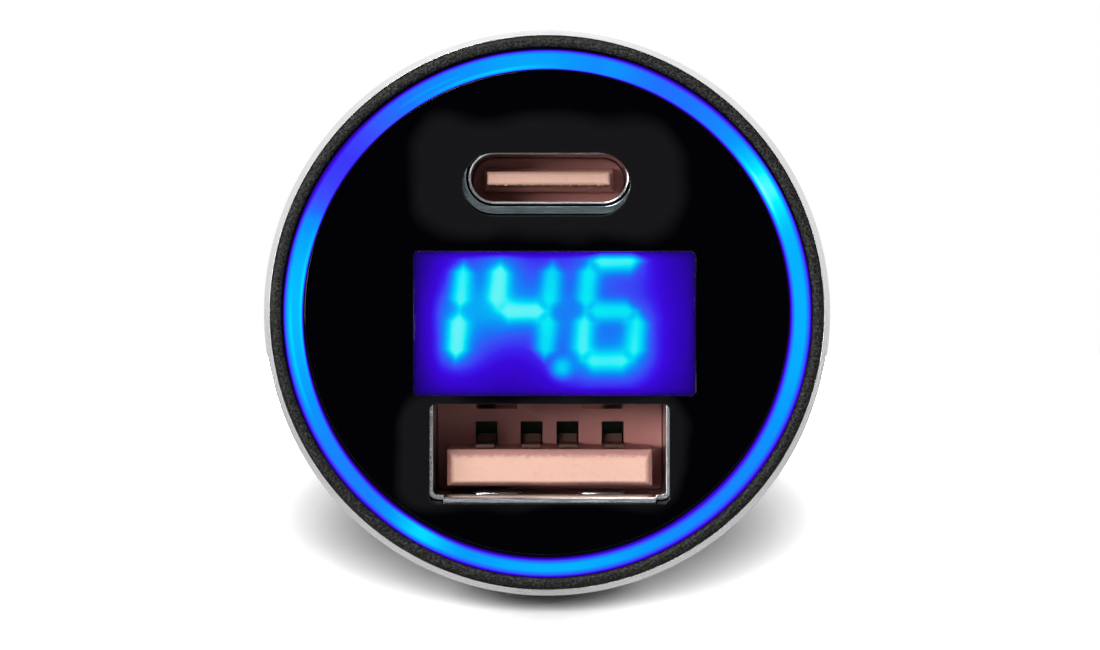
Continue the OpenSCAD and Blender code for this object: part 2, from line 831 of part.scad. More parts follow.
module barrel() {
    rib = 0.7;
    rib_l = plain_len - 1.5;
    color([0.1, 0.1, 0.11]) seat() difference() {
        union() {
            revolve([
                [barrel_bore_r, -barrel_len], [slim_r - 0.4, -barrel_len],
                [slim_r, -barrel_len + 0.4], [slim_r, -plain_len], [barrel_r, -plain_len],
                [barrel_r, 0], [root_r, 0], [root_r, rear_wall], [collar_r, rear_wall],
                [collar_r, ledge_z], [collar_r - collar_wall, ledge_z],
                [collar_r - collar_wall, collar_floor], [barrel_bore_r, collar_floor]
            ]);
            // Ribs that guide the main board's long edges
            intersection() {
                translate([0, 0, -rib_l]) cylinder(r = barrel_bore_r + 0.4, h = rib_l);
                for (x = [-1, 1], y = [-1, 1]) {
                    translate([x * barrel_bore_r, y * (top_y + 2 * fit + rib / 2), -rib_l / 2])
                        cube([2.4, rib, rib_l], center = true);
                }
            }
        }
        for (side = [0, 1]) mirror([side, 0, 0]) {
            side_slot();
            translate([pivot_r, 0, pivot_z]) rotate([90, 0, 0])
                cylinder(d = pin_d + fit, h = pin_len, center = true, $fn = 32);
        }
    }
}

// Side contact on the right: its leaf follows the outer line, with the crown between 0.43 and
// 0.51 of its length, and keeps its sheet's thickness
module side_contact() {
    end_z = -side_len;
    outer = [
        [pivot_r + eye_r, 0], [side_crown - 0.12, 0.372 * end_z], [side_crown, 0.43 * end_z],
        [side_crown, 0.512 * end_z], [side_crown - 0.15, 0.576 * end_z],
        [tail_r + 0.05, end_z + 2.1], [tail_r, end_z + 1.6], [tail_r, end_z]
    ];
    inner = [for (i = [len(outer) - 1:-1:0]) outer[i] - [side_t, 0]];
    translate([0, 0, pivot_z]) difference() {
        union() {
            translate([0, side_w / 2, 0]) rotate([90, 0, 0]) linear_extrude(side_w)
                polygon(concat(outer, inner));
            eye_shaft(2 * eye_r, side_w);
        }
        eye_shaft(pin_d + 2 * fit, side_w + 2 * cut);
    }
}

// Round shaft through a side contact's eye, across the barrel
module eye_shaft(d, l) {
    translate([pivot_r, 0, 0]) rotate([90, 0, 0]) cylinder(d = d, h = l, center = true, $fn = 32);
}

module ground_contact_right() {
    color("LightGray") seat() side_contact();
}

module ground_contact_left() {
    color("LightGray") seat() mirror([1, 0, 0]) side_contact();
}

module contact_pins() {
    color("Gray") seat() for (x = [-pivot_r, pivot_r]) {
        translate([x, 0, pivot_z]) rotate([90, 0, 0])
            cylinder(d = pin_d, h = pin_len - 2 * fit, center = true, $fn = 32);
    }
}

module nose_cap() {
    spigot_out = barrel_bore_r - fit;
    color([0.1, 0.1, 0.11]) seat() revolve([
        [tip_r + slide, nose_z], [nose_r - 0.3, nose_z], [nose_r, nose_z + 0.3],
        [nose_rim_r, -barrel_len - 0.6], [nose_rim_r, -barrel_len], [spigot_out, -barrel_len],
        [spigot_out, -barrel_len + nose_spigot], [spigot_out - 1.25, -barrel_len + nose_spigot],
        [spigot_out - 1.25, -barrel_len - 0.4], [tip_flange_d / 2 + 0.6, nose_floor],
        [tip_r + slide, nose_floor]
    ]);
}

module tip_contact() {
    end_z = nose_z - tip_out;
    dome = 2.2;
    color("Silver") seat() revolve(concat(
        [[0, end_z]],
        [for (i = [1:7]) let (t = i * 90 / 7) [tip_r * sin(t), end_z + dome * (1 - cos(t))]],
        [
            [tip_r, nose_floor], [tip_flange_d / 2, nose_floor], [tip_flange_d / 2, tip_flange_z],
            [spigot_r, tip_flange_z], [spigot_r, tip_flange_z + spigot_l],
            [0, tip_flange_z + spigot_l]
        ]
    ));
}

// Centre of the spring's wire at turn t, closed flat at both ends
function coil(t) =
    let (
        low = tip_flange_z + spring_wire / 2 + fit,
        high = seat_z - spring_wire / 2 - fit,
        k = min(max((t - 0.75) / (spring_turns - 1.5), 0), 1)
    )
    [spring_d / 2 * cos(360 * t), spring_d / 2 * sin(360 * t), low + (high - low) * k];

module tip_spring() {
    sides = 8;
    rings = spring_turns * 20;
    points = [
        for (i = [0:rings]) let (t = i * spring_turns / rings, c = coil(t), a = 360 * t)
            for (k = [0:sides - 1]) let (b = 360 * k / sides, w = spring_wire / 2)
                c + [w * cos(b) * cos(a), w * cos(b) * sin(a), w * sin(b)]
    ];
    walls = [
        for (i = [0:rings - 1], k = [0:sides - 1])
            let (n = (k + 1) % sides, p = i * sides, q = p + sides)
                [p + k, p + n, q + n, q + k]
    ];
    first = [for (k = [sides - 1:-1:0]) k];
    last = [for (k = [0:sides - 1]) rings * sides + k];
    color("LightGray") seat() polyhedron(points, concat(walls, [first, last]));
}

module spring_seat() {
    jaw = 0.5;
    color("DarkKhaki") seat() {
        slab(seat_z, seat_z + seat_t) circle(seat_r);
        slab(seat_z - spigot_l, seat_z) circle(spigot_r);
        // Two jaws soldered to the faces of the main board's end
        for (y = [-1, 1]) {
            translate([0, y * (top_y + jaw / 2), seat_z + seat_t + 0.9])
                cube([4, jaw, 1.9], center = true);
        }
    }
}

housing();
bezel();
light_ring();
face_plate();
display_window();
lit_segments();
unlit_segments();
display_module();
display_board();
display_pins();
face_carrier();
usb_a_shell();
usb_a_insulator();
usb_a_contacts();
usb_c_shield();
usb_c_shell();
usb_c_insulator();
usb_c_contacts();
port_board();
ring_leds();
main_board();
inductor();
input_capacitor();
output_capacitors();
converter_chips();
charge_controller();
fuse();
surge_diode();
chip_capacitors();
barrel();
ground_contact_left();
ground_contact_right();
contact_pins();
nose_cap();
tip_contact();
tip_spring();
spring_seat();
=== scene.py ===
# %% [markdown]
# # A car USB charger plug, dressed for the camera
# The plug is a small metal head on a barrel that pushes into a car's 12 V socket. Its face holds
# a USB-C port, a lit voltage display, a USB-A port and a ring of light under a dark bezel.
# The solids come from a CAD model. They fix every size and place, so this lesson only makes
# finer surfaces in the same places and gives each one its finish.

# %% Load the solids
import json
import math

import bmesh
import bpy
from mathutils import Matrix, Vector

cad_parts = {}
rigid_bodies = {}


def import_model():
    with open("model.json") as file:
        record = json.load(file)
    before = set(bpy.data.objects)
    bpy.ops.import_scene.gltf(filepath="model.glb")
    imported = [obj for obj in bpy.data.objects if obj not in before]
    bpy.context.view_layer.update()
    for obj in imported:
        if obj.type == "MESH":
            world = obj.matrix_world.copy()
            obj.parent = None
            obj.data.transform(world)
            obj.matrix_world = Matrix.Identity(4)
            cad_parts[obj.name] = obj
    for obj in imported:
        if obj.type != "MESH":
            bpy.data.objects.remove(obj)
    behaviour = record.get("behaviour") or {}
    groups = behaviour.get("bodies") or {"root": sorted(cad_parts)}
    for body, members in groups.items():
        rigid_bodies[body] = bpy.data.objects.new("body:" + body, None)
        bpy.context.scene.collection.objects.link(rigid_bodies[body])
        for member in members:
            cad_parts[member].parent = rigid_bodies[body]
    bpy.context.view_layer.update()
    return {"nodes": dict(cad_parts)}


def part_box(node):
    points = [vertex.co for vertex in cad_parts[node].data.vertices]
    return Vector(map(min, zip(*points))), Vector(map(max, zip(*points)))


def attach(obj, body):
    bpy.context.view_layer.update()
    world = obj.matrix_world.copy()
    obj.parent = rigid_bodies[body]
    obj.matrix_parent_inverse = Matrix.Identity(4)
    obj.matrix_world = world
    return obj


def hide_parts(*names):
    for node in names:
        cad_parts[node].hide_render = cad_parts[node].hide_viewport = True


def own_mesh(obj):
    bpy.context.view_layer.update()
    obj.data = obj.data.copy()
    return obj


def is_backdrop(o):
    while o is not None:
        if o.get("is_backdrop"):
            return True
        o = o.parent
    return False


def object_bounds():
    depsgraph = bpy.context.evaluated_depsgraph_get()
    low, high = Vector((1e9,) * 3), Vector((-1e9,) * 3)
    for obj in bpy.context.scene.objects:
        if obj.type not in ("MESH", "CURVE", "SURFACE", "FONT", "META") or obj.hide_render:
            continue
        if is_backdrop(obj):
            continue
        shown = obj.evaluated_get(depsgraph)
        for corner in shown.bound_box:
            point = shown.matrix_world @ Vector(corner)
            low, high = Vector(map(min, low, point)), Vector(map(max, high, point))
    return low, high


for leftover in list(bpy.data.objects):
    bpy.data.objects.remove(leftover)
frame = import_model()

# %% [markdown]
# ## Measures
# Lengths are kept in millimetres, as on a drawing, and heights run along the plug's axis: zero
# at the shoulder, where head meets barrel, and growing towards the face. In the frame the face
# looks along -Y, so a height h lies at y = -h. What the solids can tell is read from their boxes.

# %% Read the main sizes
MM = 0.001


def radius(node):
    """Outer radius of a round solid, in millimetres."""
    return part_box(node)[1].x / MM


def top(node):
    """Height of a solid's end nearest the face."""
    return -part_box(node)[0].y / MM


def bottom(node):
    """Height of a solid's end nearest the tip."""
    return -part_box(node)[1].y / MM


FIT = 0.03
HEAD_R = radius("housing")
LIP_R = radius("bezel") + FIT
RING_R = LIP_R - 0.65
PLATE_R = radius("face_plate")
BORE_R = radius("light_ring") + FIT
FACE_Z = top("face_plate")
BEZEL_Z = bottom("bezel")
LEDGE_Z = bottom("port_board")
print("head", round(2 * HEAD_R, 2), "mm across, face", round(FACE_Z, 2), "mm above the shoulder")

# %% [markdown]
# ## Camera
# The photograph looks straight at the face from about 28 cm away. The lens is long enough for
# the head to fill most of the frame's height, and the aim is a hair off the axis.

# %% Set the camera
FRAME_W, SENSOR_W = 58.8, 36
CAMERA_X, CAMERA_Z = 0.16, -0.67
CAMERA_DISTANCE = 280
camera_data = bpy.data.cameras.new("camera")
camera_data.sensor_width = SENSOR_W
camera_data.lens = SENSOR_W * CAMERA_DISTANCE / FRAME_W
camera_data.clip_start = 0.01
camera_data.clip_end = 20
camera = bpy.data.objects.new("camera", camera_data)
camera.location = Vector((CAMERA_X, -FACE_Z - CAMERA_DISTANCE, CAMERA_Z)) * MM
camera.rotation_euler = (math.radians(90), 0, 0)
bpy.context.scene.collection.objects.link(camera)
bpy.context.scene.camera = camera
bpy.context.scene.view_settings.view_transform = "Standard"
print("lens", round(camera_data.lens, 1), "mm")

# %% [markdown]
# ## Writing node trees
# Materials and Geometry Nodes are both trees of nodes joined by links. One small helper adds a
# node, sets its own options and fills or links its sockets, so that the cells below read as a
# list of what each tree does. The others give the commonest nodes.

# %% Helpers that add one node
def add(tree, kind, inputs=None, **options):
    """Adds a node. A value in inputs is a number, a vector or a socket to link from."""
    node = tree.nodes.new(kind)
    for name, value in options.items():
        setattr(node, name, value)
    for key, value in (inputs or {}).items():
        socket = node.inputs[key]
        if isinstance(value, bpy.types.NodeSocket):
            tree.links.new(value, socket)
        else:
            socket.default_value = value
    return node


def made(tree, kind, inputs=None, **options):
    """Adds a node and returns its first output."""
    return add(tree, kind, inputs, **options).outputs[0]


def maths(tree, kind, a, b=0.0, clamp=False):
    """Adds a Math node and returns its result."""
    return made(tree, "ShaderNodeMath", {0: a, 1: b}, operation=kind, use_clamp=clamp)


def vector_maths(tree, kind, a, b=(0, 0, 0), c=(0, 0, 0)):
    """Adds a Vector Math node and returns its result."""
    node = add(tree, "ShaderNodeVectorMath", {0: a, 1: b, 2: c}, operation=kind)
    return node.outputs["Value" if kind in ("LENGTH", "DOT_PRODUCT") else "Vector"]


def object_place(tree):
    """Place of a point in Object coordinates, in metres."""
    return add(tree, "ShaderNodeTexCoord").outputs["Object"]


print("node helpers ready")

# %% [markdown]
# ## Materials
# A finish is more than a colour: turned aluminium has fine rings, moulded plastic has a grain,
# steel sheet has a brushed direction. Each of these comes from noise read in Object
# coordinates, so it sits still on the piece and has its true size in millimetres.

# %% The parts that every finish shares
def coordinates(tree, scale, stretch=(1, 1, 1)):
    """Object coordinates with scale cycles per metre, stretched along chosen axes."""
    factors = tuple(scale * s for s in stretch)
    return made(tree, "ShaderNodeMapping", {"Vector": object_place(tree), "Scale": factors})


def noise(tree, scale, detail=3.0, rough=0.55, stretch=(1, 1, 1)):
    """Smooth random value, with scale blobs per metre."""
    vector = coordinates(tree, scale, stretch)
    return made(tree, "ShaderNodeTexNoise", {"Vector": vector, "Scale": 1.0, "Detail": detail,
                                             "Roughness": rough})


def ramp(tree, value, stops):
    """Colour ramp with stops given as (position, colour)."""
    node = add(tree, "ShaderNodeValToRGB", {"Fac": value})
    elements = node.color_ramp.elements
    while len(elements) < len(stops):
        elements.new(0.5)
    for element, (position, colour) in zip(elements, stops):
        element.position = position
        element.color = (*colour, 1)
    return node.outputs["Color"]


def remap(tree, value, low, high, start=0.0, end=1.0, **options):
    """Turns the range start..end of a value into low..high."""
    ends = {"Value": value, "From Min": start, "From Max": end, "To Min": low, "To Max": high}
    return made(tree, "ShaderNodeMapRange", ends, **options)


def bump(tree, height, depth):
    """Normal of a surface whose height field is depth metres deep."""
    return made(tree, "ShaderNodeBump", {"Height": height, "Distance": depth})


def finish(name, **values):
    """Material with a Principled shader whose constant sockets are set."""
    material = bpy.data.materials.new(name)
    material.use_nodes = True
    tree = material.node_tree
    shader = tree.nodes["Principled BSDF"]
    for key, value in values.items():
        shader.inputs[key.replace("_", " ")].default_value = value
    return material, tree, shader


def feed(shader, **sources):
    """Links each source to the shader's socket of that name."""
    for key, source in sources.items():
        shader.id_data.links.new(source, shader.inputs[key.replace("_", " ")])


print("material helpers ready")

# %% [markdown]
# ### Metals
# The housing is turned from aluminium on a lathe, which leaves fine rings round the axis. Rings
# depend only on the height along Y, so the noise is squeezed along Y and drawn out across it.
# Steel sheet is rolled, and its scratches run along X. Nickel and brass are smoother.

# %% Aluminium, steel, nickel and brass
SMOOTHER, ROUGHER = 0.05, 0.09


def brushed_metal(name, colour, rough, scale, stretch, depth):
    """Metal with fine lines: stretch is small along the lines and large across them."""
    material, tree, shader = finish(name, Metallic=1.0)
    lines = noise(tree, scale, 4.0, 0.6, stretch)
    wear = noise(tree, 600, 3.0)
    tones = [(0.3, tuple(0.93 * c for c in colour)), (0.7, colour)]
    feed(shader, Base_Color=ramp(tree, wear, tones), Normal=bump(tree, lines, depth),
         Roughness=remap(tree, lines, rough - SMOOTHER, rough + ROUGHER))
    return material


aluminium = brushed_metal("turned_aluminium", (0.88, 0.865, 0.87), 0.25, 9000,
                          (0.02, 1, 0.02), 4e-6)
port_steel = brushed_metal("rolled_steel", (0.66, 0.70, 0.72), 0.15, 14000, (0.05, 1, 1), 5e-6)
shield_steel = brushed_metal("blued_steel", (0.55, 0.68, 0.74), 0.16, 9000, (0.1, 1, 1), 2e-6)
nickel = brushed_metal("nickel_plate", (0.72, 0.70, 0.66), 0.2, 5000, (1, 0.15, 1), 2e-6)
spring_steel = brushed_metal("spring_wire", (0.62, 0.61, 0.60), 0.25, 8000, (1, 1, 1), 2e-6)
brass = brushed_metal("turned_brass", (0.78, 0.60, 0.32), 0.25, 6000, (0.1, 1, 0.1), 2e-6)
gold = brushed_metal("gold_plate", (0.87, 0.64, 0.27), 0.22, 9000, (1, 0.1, 1), 1e-6)
# Painted shade: the lower socket's plated contacts get a dark brown colour for the shade deep in
# the socket.
painted_shade_contacts = brushed_metal("gold_contacts_painted_shade", (0.16, 0.085, 0.07), 0.4, 9000, (1, 0.1, 1), 2e-6)
print("metals:", ", ".join(m.name for m in (aluminium, port_steel, nickel, brass, gold)))

# %% [markdown]
# ### Moulded plastics
# The bezel's mould was spark-eroded, which leaves a sandy grain about a tenth of a millimetre
# wide; some grains are painted lighter, as painted glints. The barrel has a finer, shallower
# grain. The salmon nylon of the ports is faintly mottled and lets a little light into its skin.
# Its colour is painted darker and deeper further into the sockets, as painted shade, and is
# palest at the tongues' fronts.

# %% Grained and mottled plastic
# Painted highlight: the third tone, GLINT times the light colour, paints some grains as glints.
GRAIN_STEPS, GLINT = (-0.14, 0.12, 0.28), 1.9


def grained_plastic(name, dark, light, grain, depth, rough, shine=0.5, even=1.0):
    """Plastic with grain spots per metre between two colours, some painted lighter as glints. A
    low even makes it stark.
    """
    material, tree, shader = finish(name, Roughness=rough, IOR=1.5, Specular_IOR_Level=shine)
    fine, cloud = noise(tree, grain, 2.0, 0.6), noise(tree, 900, 2.0)
    mixed = maths(tree, "ADD", fine, remap(tree, cloud, -0.06, 0.06))
    colours = (dark, light, tuple(GLINT * c for c in light))
    tones = [(0.5 + step * even, colour) for step, colour in zip(GRAIN_STEPS, colours)]
    feed(shader, Base_Color=ramp(tree, mixed, tones), Normal=bump(tree, fine, depth))
    return material


bezel_black = grained_plastic("sanded_black", (0.003, 0.003, 0.003), (0.036, 0.035, 0.032),
                              7500, 3e-5, 0.5, 0.15, even=0.6)
barrel_black = grained_plastic("moulded_black", (0.014, 0.014, 0.015), (0.022, 0.022, 0.023),
                               9000, 6e-6, 0.42)
inner_black = grained_plastic("satin_black", (0.01, 0.01, 0.011), (0.02, 0.02, 0.021),
                              7000, 5e-6, 0.5)

salmon, tree, shader = finish("salmon_nylon", Roughness=0.42, Subsurface_Weight=0.12,
                              Subsurface_Scale=0.0003, Subsurface_Radius=(1.0, 0.5, 0.3))
# Painted shade: the colour darkens from the front of the lower tongue into the sockets.
PAINTED_SHADE_START_Y = (0.03 - top("usb_a_insulator")) * MM
PAINTED_SHADE_END_Y = PAINTED_SHADE_START_Y + 3.8 * MM
SALMON_PAINTED_SHADE_TONES = [(0.0, (0.92, 0.56, 0.44)), (0.02, (0.86, 0.48, 0.38)),
                (0.045, (0.56, 0.245, 0.21)), (1.0, (0.68, 0.27, 0.24))]
along = add(tree, "ShaderNodeSeparateXYZ", {"Vector": object_place(tree)}).outputs["Y"]
mottle = remap(tree, noise(tree, 3500, 4.0, 0.65), -0.03, 0.03)
shade = maths(tree, "ADD", remap(tree, along, 0.0, 1.0, PAINTED_SHADE_START_Y, PAINTED_SHADE_END_Y), mottle)
feed(shader, Base_Color=ramp(tree, shade, SALMON_PAINTED_SHADE_TONES),
     Normal=bump(tree, noise(tree, 16000, 2.0), 6e-6))
print("plastics:", bezel_black.name, barrel_black.name, inner_black.name, salmon.name)

# %% [markdown]
# ### The gloss face
# The face plate is polished black acrylic. Where fingers go to the ports it has a faint haze, a
# little greyer than the rest, and its outline is soft and uneven. A box distance in Object
# coordinates, bent by noise, gives that mask, where a painted image would need its own file.

# %% Black acrylic with a haze round the ports
SWAYS_PER_M, SWAY, HAZE_CORE = 260.0, 8e-4, 0.6


def haze(tree, centre, half, spread):
    """1 inside a box on the face, falling to 0 over spread metres, with an uneven edge."""
    place = object_place(tree)
    sway = made(tree, "ShaderNodeTexNoise",
                {"Vector": place, "Scale": SWAYS_PER_M, "Detail": 1.0})
    moved = vector_maths(tree, "ADD", place, (-centre[0], 0, -centre[1]))
    size = vector_maths(tree, "ABSOLUTE", moved)
    past = vector_maths(tree, "SUBTRACT", size, (half[0], 1, half[1]))
    far = vector_maths(tree, "LENGTH", vector_maths(tree, "MAXIMUM", past))
    bent = maths(tree, "ADD", far, remap(tree, sway, -SWAY, SWAY))
    return remap(tree, bent, 1.0, 0.0, HAZE_CORE * spread, spread)


PORT_C = (0.09 * MM, 7.2 * MM)
PORT_A = (-0.3 * MM, -7.5 * MM)
face_black, tree, shader = finish("gloss_black", Roughness=0.04, IOR=1.45)
upper = haze(tree, PORT_C, (5.2 * MM, 1.2 * MM), 2.4 * MM)
lower = haze(tree, PORT_A, (6.3 * MM, 1.5 * MM), 1.7 * MM)
feed(shader, Base_Color=ramp(tree, maths(tree, "MAXIMUM", upper, lower), [
    (0.0, (0.0004, 0.0003, 0.0014)), (1.0, (0.0088, 0.0086, 0.0098))]))
print("face finish:", face_black.name)

# %% [markdown]
# ### Lit parts
# The ring and the display glow by themselves. Both are blue LEDs behind milky plastic: where the
# light is weak the camera sees deep violet-blue, and where it is strong it sees cyan. So one
# value from 0 to 1 called glow, stored on the mesh, runs through one colour ramp for both.

# %% From glow to colour
def srgb(r, g, b):
    """Linear colour of an 8-bit display colour."""
    return tuple((c / 255 / 12.92) if c <= 10 else ((c / 255 + 0.055) / 1.055) ** 2.4
                 for c in (r, g, b))


LED_TONES = [
    (0.00, srgb(0, 0, 14)), (0.15, srgb(30, 0, 125)), (0.25, srgb(42, 0, 163)),
    (0.35, srgb(52, 0, 200)), (0.45, srgb(60, 2, 226)), (0.52, srgb(60, 32, 246)),
    (0.60, srgb(58, 78, 253)), (0.67, srgb(28, 113, 254)), (0.75, srgb(3, 152, 253)),
    (0.85, srgb(0, 200, 255)), (0.93, srgb(0, 245, 255)), (1.00, srgb(110, 255, 255)),
]


def led_light(name, rough):
    """Milky plastic lit from behind, with its light in the attribute glow."""
    material, tree, shader = finish(name, Base_Color=(0.002, 0.002, 0.006, 1),
                                    Roughness=rough, Specular_IOR_Level=0.0,
                                    Emission_Strength=1.0)
    glow = add(tree, "ShaderNodeAttribute", attribute_name="glow", attribute_type="GEOMETRY")
    streak = remap(tree, noise(tree, 1500, 3.0, 0.6), -0.012, 0.012)
    shifted = maths(tree, "ADD", glow.outputs["Fac"], streak)
    feed(shader, Emission_Color=ramp(tree, shifted, LED_TONES))
    return material


ring_light = led_light("milky_ring", 0.3)
display_light = led_light("milky_display", 0.5)
window_clear, tree, shader = finish("clear_acrylic", Roughness=0.02, IOR=1.49,
                                    Transmission_Weight=1.0,
                                    Base_Color=(0.97, 0.97, 1.0, 1))
print("lit finishes:", ring_light.name, display_light.name, window_clear.name)

# %% [markdown]
# ### Boards and what stands on them
# These lie inside and show only through the slots, so plain but true finishes do: green solder
# mask with copper tracks under it, printed sleeves, and the matt resin of chips.

# %% Finishes of the electronics
board_green, tree, shader = finish("solder_mask", Roughness=0.35, Coat_Weight=0.4)
tracks = made(tree, "ShaderNodeTexBrick", {
    "Vector": coordinates(tree, 500), "Scale": 1.0, "Mortar Size": 0.08,
    "Color1": (0.012, 0.09, 0.035, 1), "Color2": (0.014, 0.12, 0.045, 1),
    "Mortar": (0.03, 0.2, 0.08, 1)})
feed(shader, Base_Color=tracks)
chip_black = grained_plastic("chip_resin", (0.012, 0.012, 0.012), (0.02, 0.02, 0.02),
                             15000, 4e-6, 0.55)
ferrite = grained_plastic("ferrite_core", (0.03, 0.03, 0.033), (0.06, 0.06, 0.064),
                          8000, 8e-6, 0.7)
led_white = grained_plastic("led_body", (0.62, 0.63, 0.6), (0.72, 0.73, 0.7), 5000, 2e-6, 0.4)
ceramic = grained_plastic("ceramic_body", (0.42, 0.32, 0.22), (0.5, 0.39, 0.27), 9000, 3e-6, 0.5)
can_aluminium = brushed_metal("can_sleeve", (0.30, 0.42, 0.58), 0.3, 4000, (1, 0.1, 1), 2e-6)
print("electronics finished")

# %% [markdown]
# ## Smooth copies of the solids
# A solid that already has the right shape only needs softer edges. A copy of its mesh is merged
# into one skin, flat areas lose their spare triangles, and a narrow bevel rounds what is sharp,
# because no real edge is perfectly sharp and it is the bevel that catches the light. Weighted
# normals let the large faces keep their flat shading beside the small ones of the bevel.

# %% Put meshes in the scene
def linked(name, mesh):
    """Puts a mesh in the scene as an object."""
    thing = bpy.data.objects.new(name, mesh)
    bpy.context.scene.collection.objects.link(thing)
    return thing


def as_piece(name, mesh, nodes, material, body="body"):
    """Puts a finished mesh in the scene, in place of solids, riding on their body."""
    piece = linked(name, mesh)
    mesh.materials.clear()
    mesh.materials.append(material)
    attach(piece, body)
    for node in nodes:
        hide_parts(node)
    return piece


def applied(work):
    """Mesh of an object with its modifiers applied. The object itself is removed."""
    bpy.context.view_layer.update()
    graph = bpy.context.evaluated_depsgraph_get()
    mesh = bpy.data.meshes.new_from_object(work.evaluated_get(graph))
    bpy.data.objects.remove(work)
    return mesh


print("scene helpers ready")

# %% Copy, merge and bevel
MERGE = 1e-7
FLAT_WITHIN, BEVEL_ABOVE, SHADE_ABOVE = (math.radians(angle) for angle in (0.5, 35, 40))


def cleaned(mesh, flat=0.0):
    """Merges doubles, drops spare edges on flat areas and turns the faces outwards."""
    work = bmesh.new()
    work.from_mesh(mesh)
    bmesh.ops.remove_doubles(work, verts=work.verts, dist=MERGE)
    if flat:
        bmesh.ops.dissolve_limit(work, angle_limit=flat, verts=work.verts, edges=work.edges)
    bmesh.ops.recalc_face_normals(work, faces=work.faces)
    work.to_mesh(mesh)
    work.free()
    return mesh


def add_bevel(work, edge, segments=2):
    """Adds a Bevel modifier that rounds sharp edges to that many millimetres."""
    rounding = work.modifiers.new("rounding", "BEVEL")
    rounding.width = edge * MM
    rounding.segments = segments
    rounding.limit_method = "ANGLE"
    return rounding


def softened(node, material, edge, segments=2, reshape=None, only=None, body="body"):
    """Copy of a solid with its sharp edges rounded to that many millimetres.

    reshape may move its corner points first, and only says which points are rounded."""
    mesh = frame["nodes"][node].data.copy()
    mesh.name = node + "_soft"
    for attribute in [a for a in mesh.attributes if a.name == "custom_normal"]:
        mesh.attributes.remove(attribute)
    cleaned(mesh, FLAT_WITHIN)
    for vertex in mesh.vertices if reshape else []:
        reshape(vertex.co)
    work = linked("work", mesh)
    rounding = add_bevel(work, edge, segments)
    rounding.angle_limit = BEVEL_ABOVE
    rounding.miter_outer = "MITER_ARC"
    if only:
        points = work.vertex_groups.new(name="rounded")
        points.add([v.index for v in mesh.vertices if only(v.co)], 1.0, "REPLACE")
        rounding.limit_method = "VGROUP"
        rounding.vertex_group = "rounded"
    mesh.shade_smooth()
    flats = work.modifiers.new("flats", "WEIGHTED_NORMAL")
    flats.weight = 100
    smooth = applied(work)
    as_piece(node + "_piece", smooth, [node], material, body)
    print(f"{node}: {len(smooth.polygons)} faces")


print("points closer than", MERGE, "m are merged")

# %% [markdown]
# ## Turned pieces
# Housing, bezel, light ring, nose cap and tip are all round the same axis, as if turned on a
# lathe. Geometry Nodes can do what the lathe does: sweep one profile round a circle. The tree
# takes the profile as a line of points, turns it into a curve and lays it along a circle. Where
# the profile bends by more than 30 degrees the edge stays sharp.

# %% Start, end and run a tree
def group(name, **sockets):
    """Geometry Nodes tree with named inputs. Returns it, what it is given and its end node."""
    tree = bpy.data.node_groups.new(name, "GeometryNodeTree")
    kinds = {"Geometry": "Geometry", **sockets, "Material": "Material"}
    for label, kind in kinds.items():
        tree.interface.new_socket(label.replace("_", " "), in_out="INPUT",
                                  socket_type="NodeSocket" + kind)
    tree.interface.new_socket("Geometry", in_out="OUTPUT", socket_type="NodeSocketGeometry")
    return tree, tree.nodes.new("NodeGroupInput").outputs, tree.nodes.new("NodeGroupOutput")


def close_tree(tree, geometry, given, end):
    """Ends a tree: instances are made real and the material is set."""
    real = made(tree, "GeometryNodeRealizeInstances", {"Geometry": geometry})
    painted = made(tree, "GeometryNodeSetMaterial",
                   {"Geometry": real, "Material": given["Material"]})
    tree.links.new(painted, end.inputs["Geometry"])
    print(tree.name, "tree has", len(tree.nodes), "nodes")


def grown(work, tree, values):
    """Runs a tree on an object with its named inputs set, and returns the mesh it makes."""
    modifier = work.modifiers.new("nodes", "NODES")
    modifier.node_group = tree
    for item in tree.interface.items_tree:
        if item.in_out == "INPUT" and item.name in values:
            modifier[item.identifier] = values[item.name]
    return applied(work)


print("tree helpers ready")

# %% The lathe as a node tree
SWEEP_R = 1 * MM
lathe, given, end = group("lathe", Segments="Int", Sharp_Angle="Float")
moved = made(lathe, "GeometryNodeTransform",
             {"Geometry": given["Geometry"], "Translation": (-SWEEP_R, 0, 0)})
profile = made(lathe, "GeometryNodeMeshToCurve", {"Mesh": moved})
circle = made(lathe, "GeometryNodeCurvePrimitiveCircle",
              {"Resolution": given["Segments"], "Radius": SWEEP_R})
swept = made(lathe, "GeometryNodeCurveToMesh", {"Curve": circle, "Profile Curve": profile})
merged = made(lathe, "GeometryNodeMergeByDistance", {"Geometry": swept, "Distance": MERGE})
upright = made(lathe, "GeometryNodeTransform",
               {"Geometry": merged, "Rotation": (math.radians(-90), 0, 0)})
is_soft = made(lathe, "FunctionNodeCompare",
               {0: made(lathe, "GeometryNodeInputMeshEdgeAngle"), 1: given["Sharp Angle"]},
               data_type="FLOAT", operation="LESS_THAN")
smooth = made(lathe, "GeometryNodeSetShadeSmooth", {"Geometry": upright, "Shade Smooth": True})
creased = made(lathe, "GeometryNodeSetShadeSmooth",
               {"Geometry": smooth, "Shade Smooth": is_soft}, domain="EDGE")
close_tree(lathe, creased, given, end)

# %% [markdown]
# A profile is a short list of corners, each with the radius of its rounding. The rounding is an
# arc that touches both lines that meet there, so only the corners have to be given.

# %% Profiles with rounded corners
SHARP_ANGLE = math.radians(30)


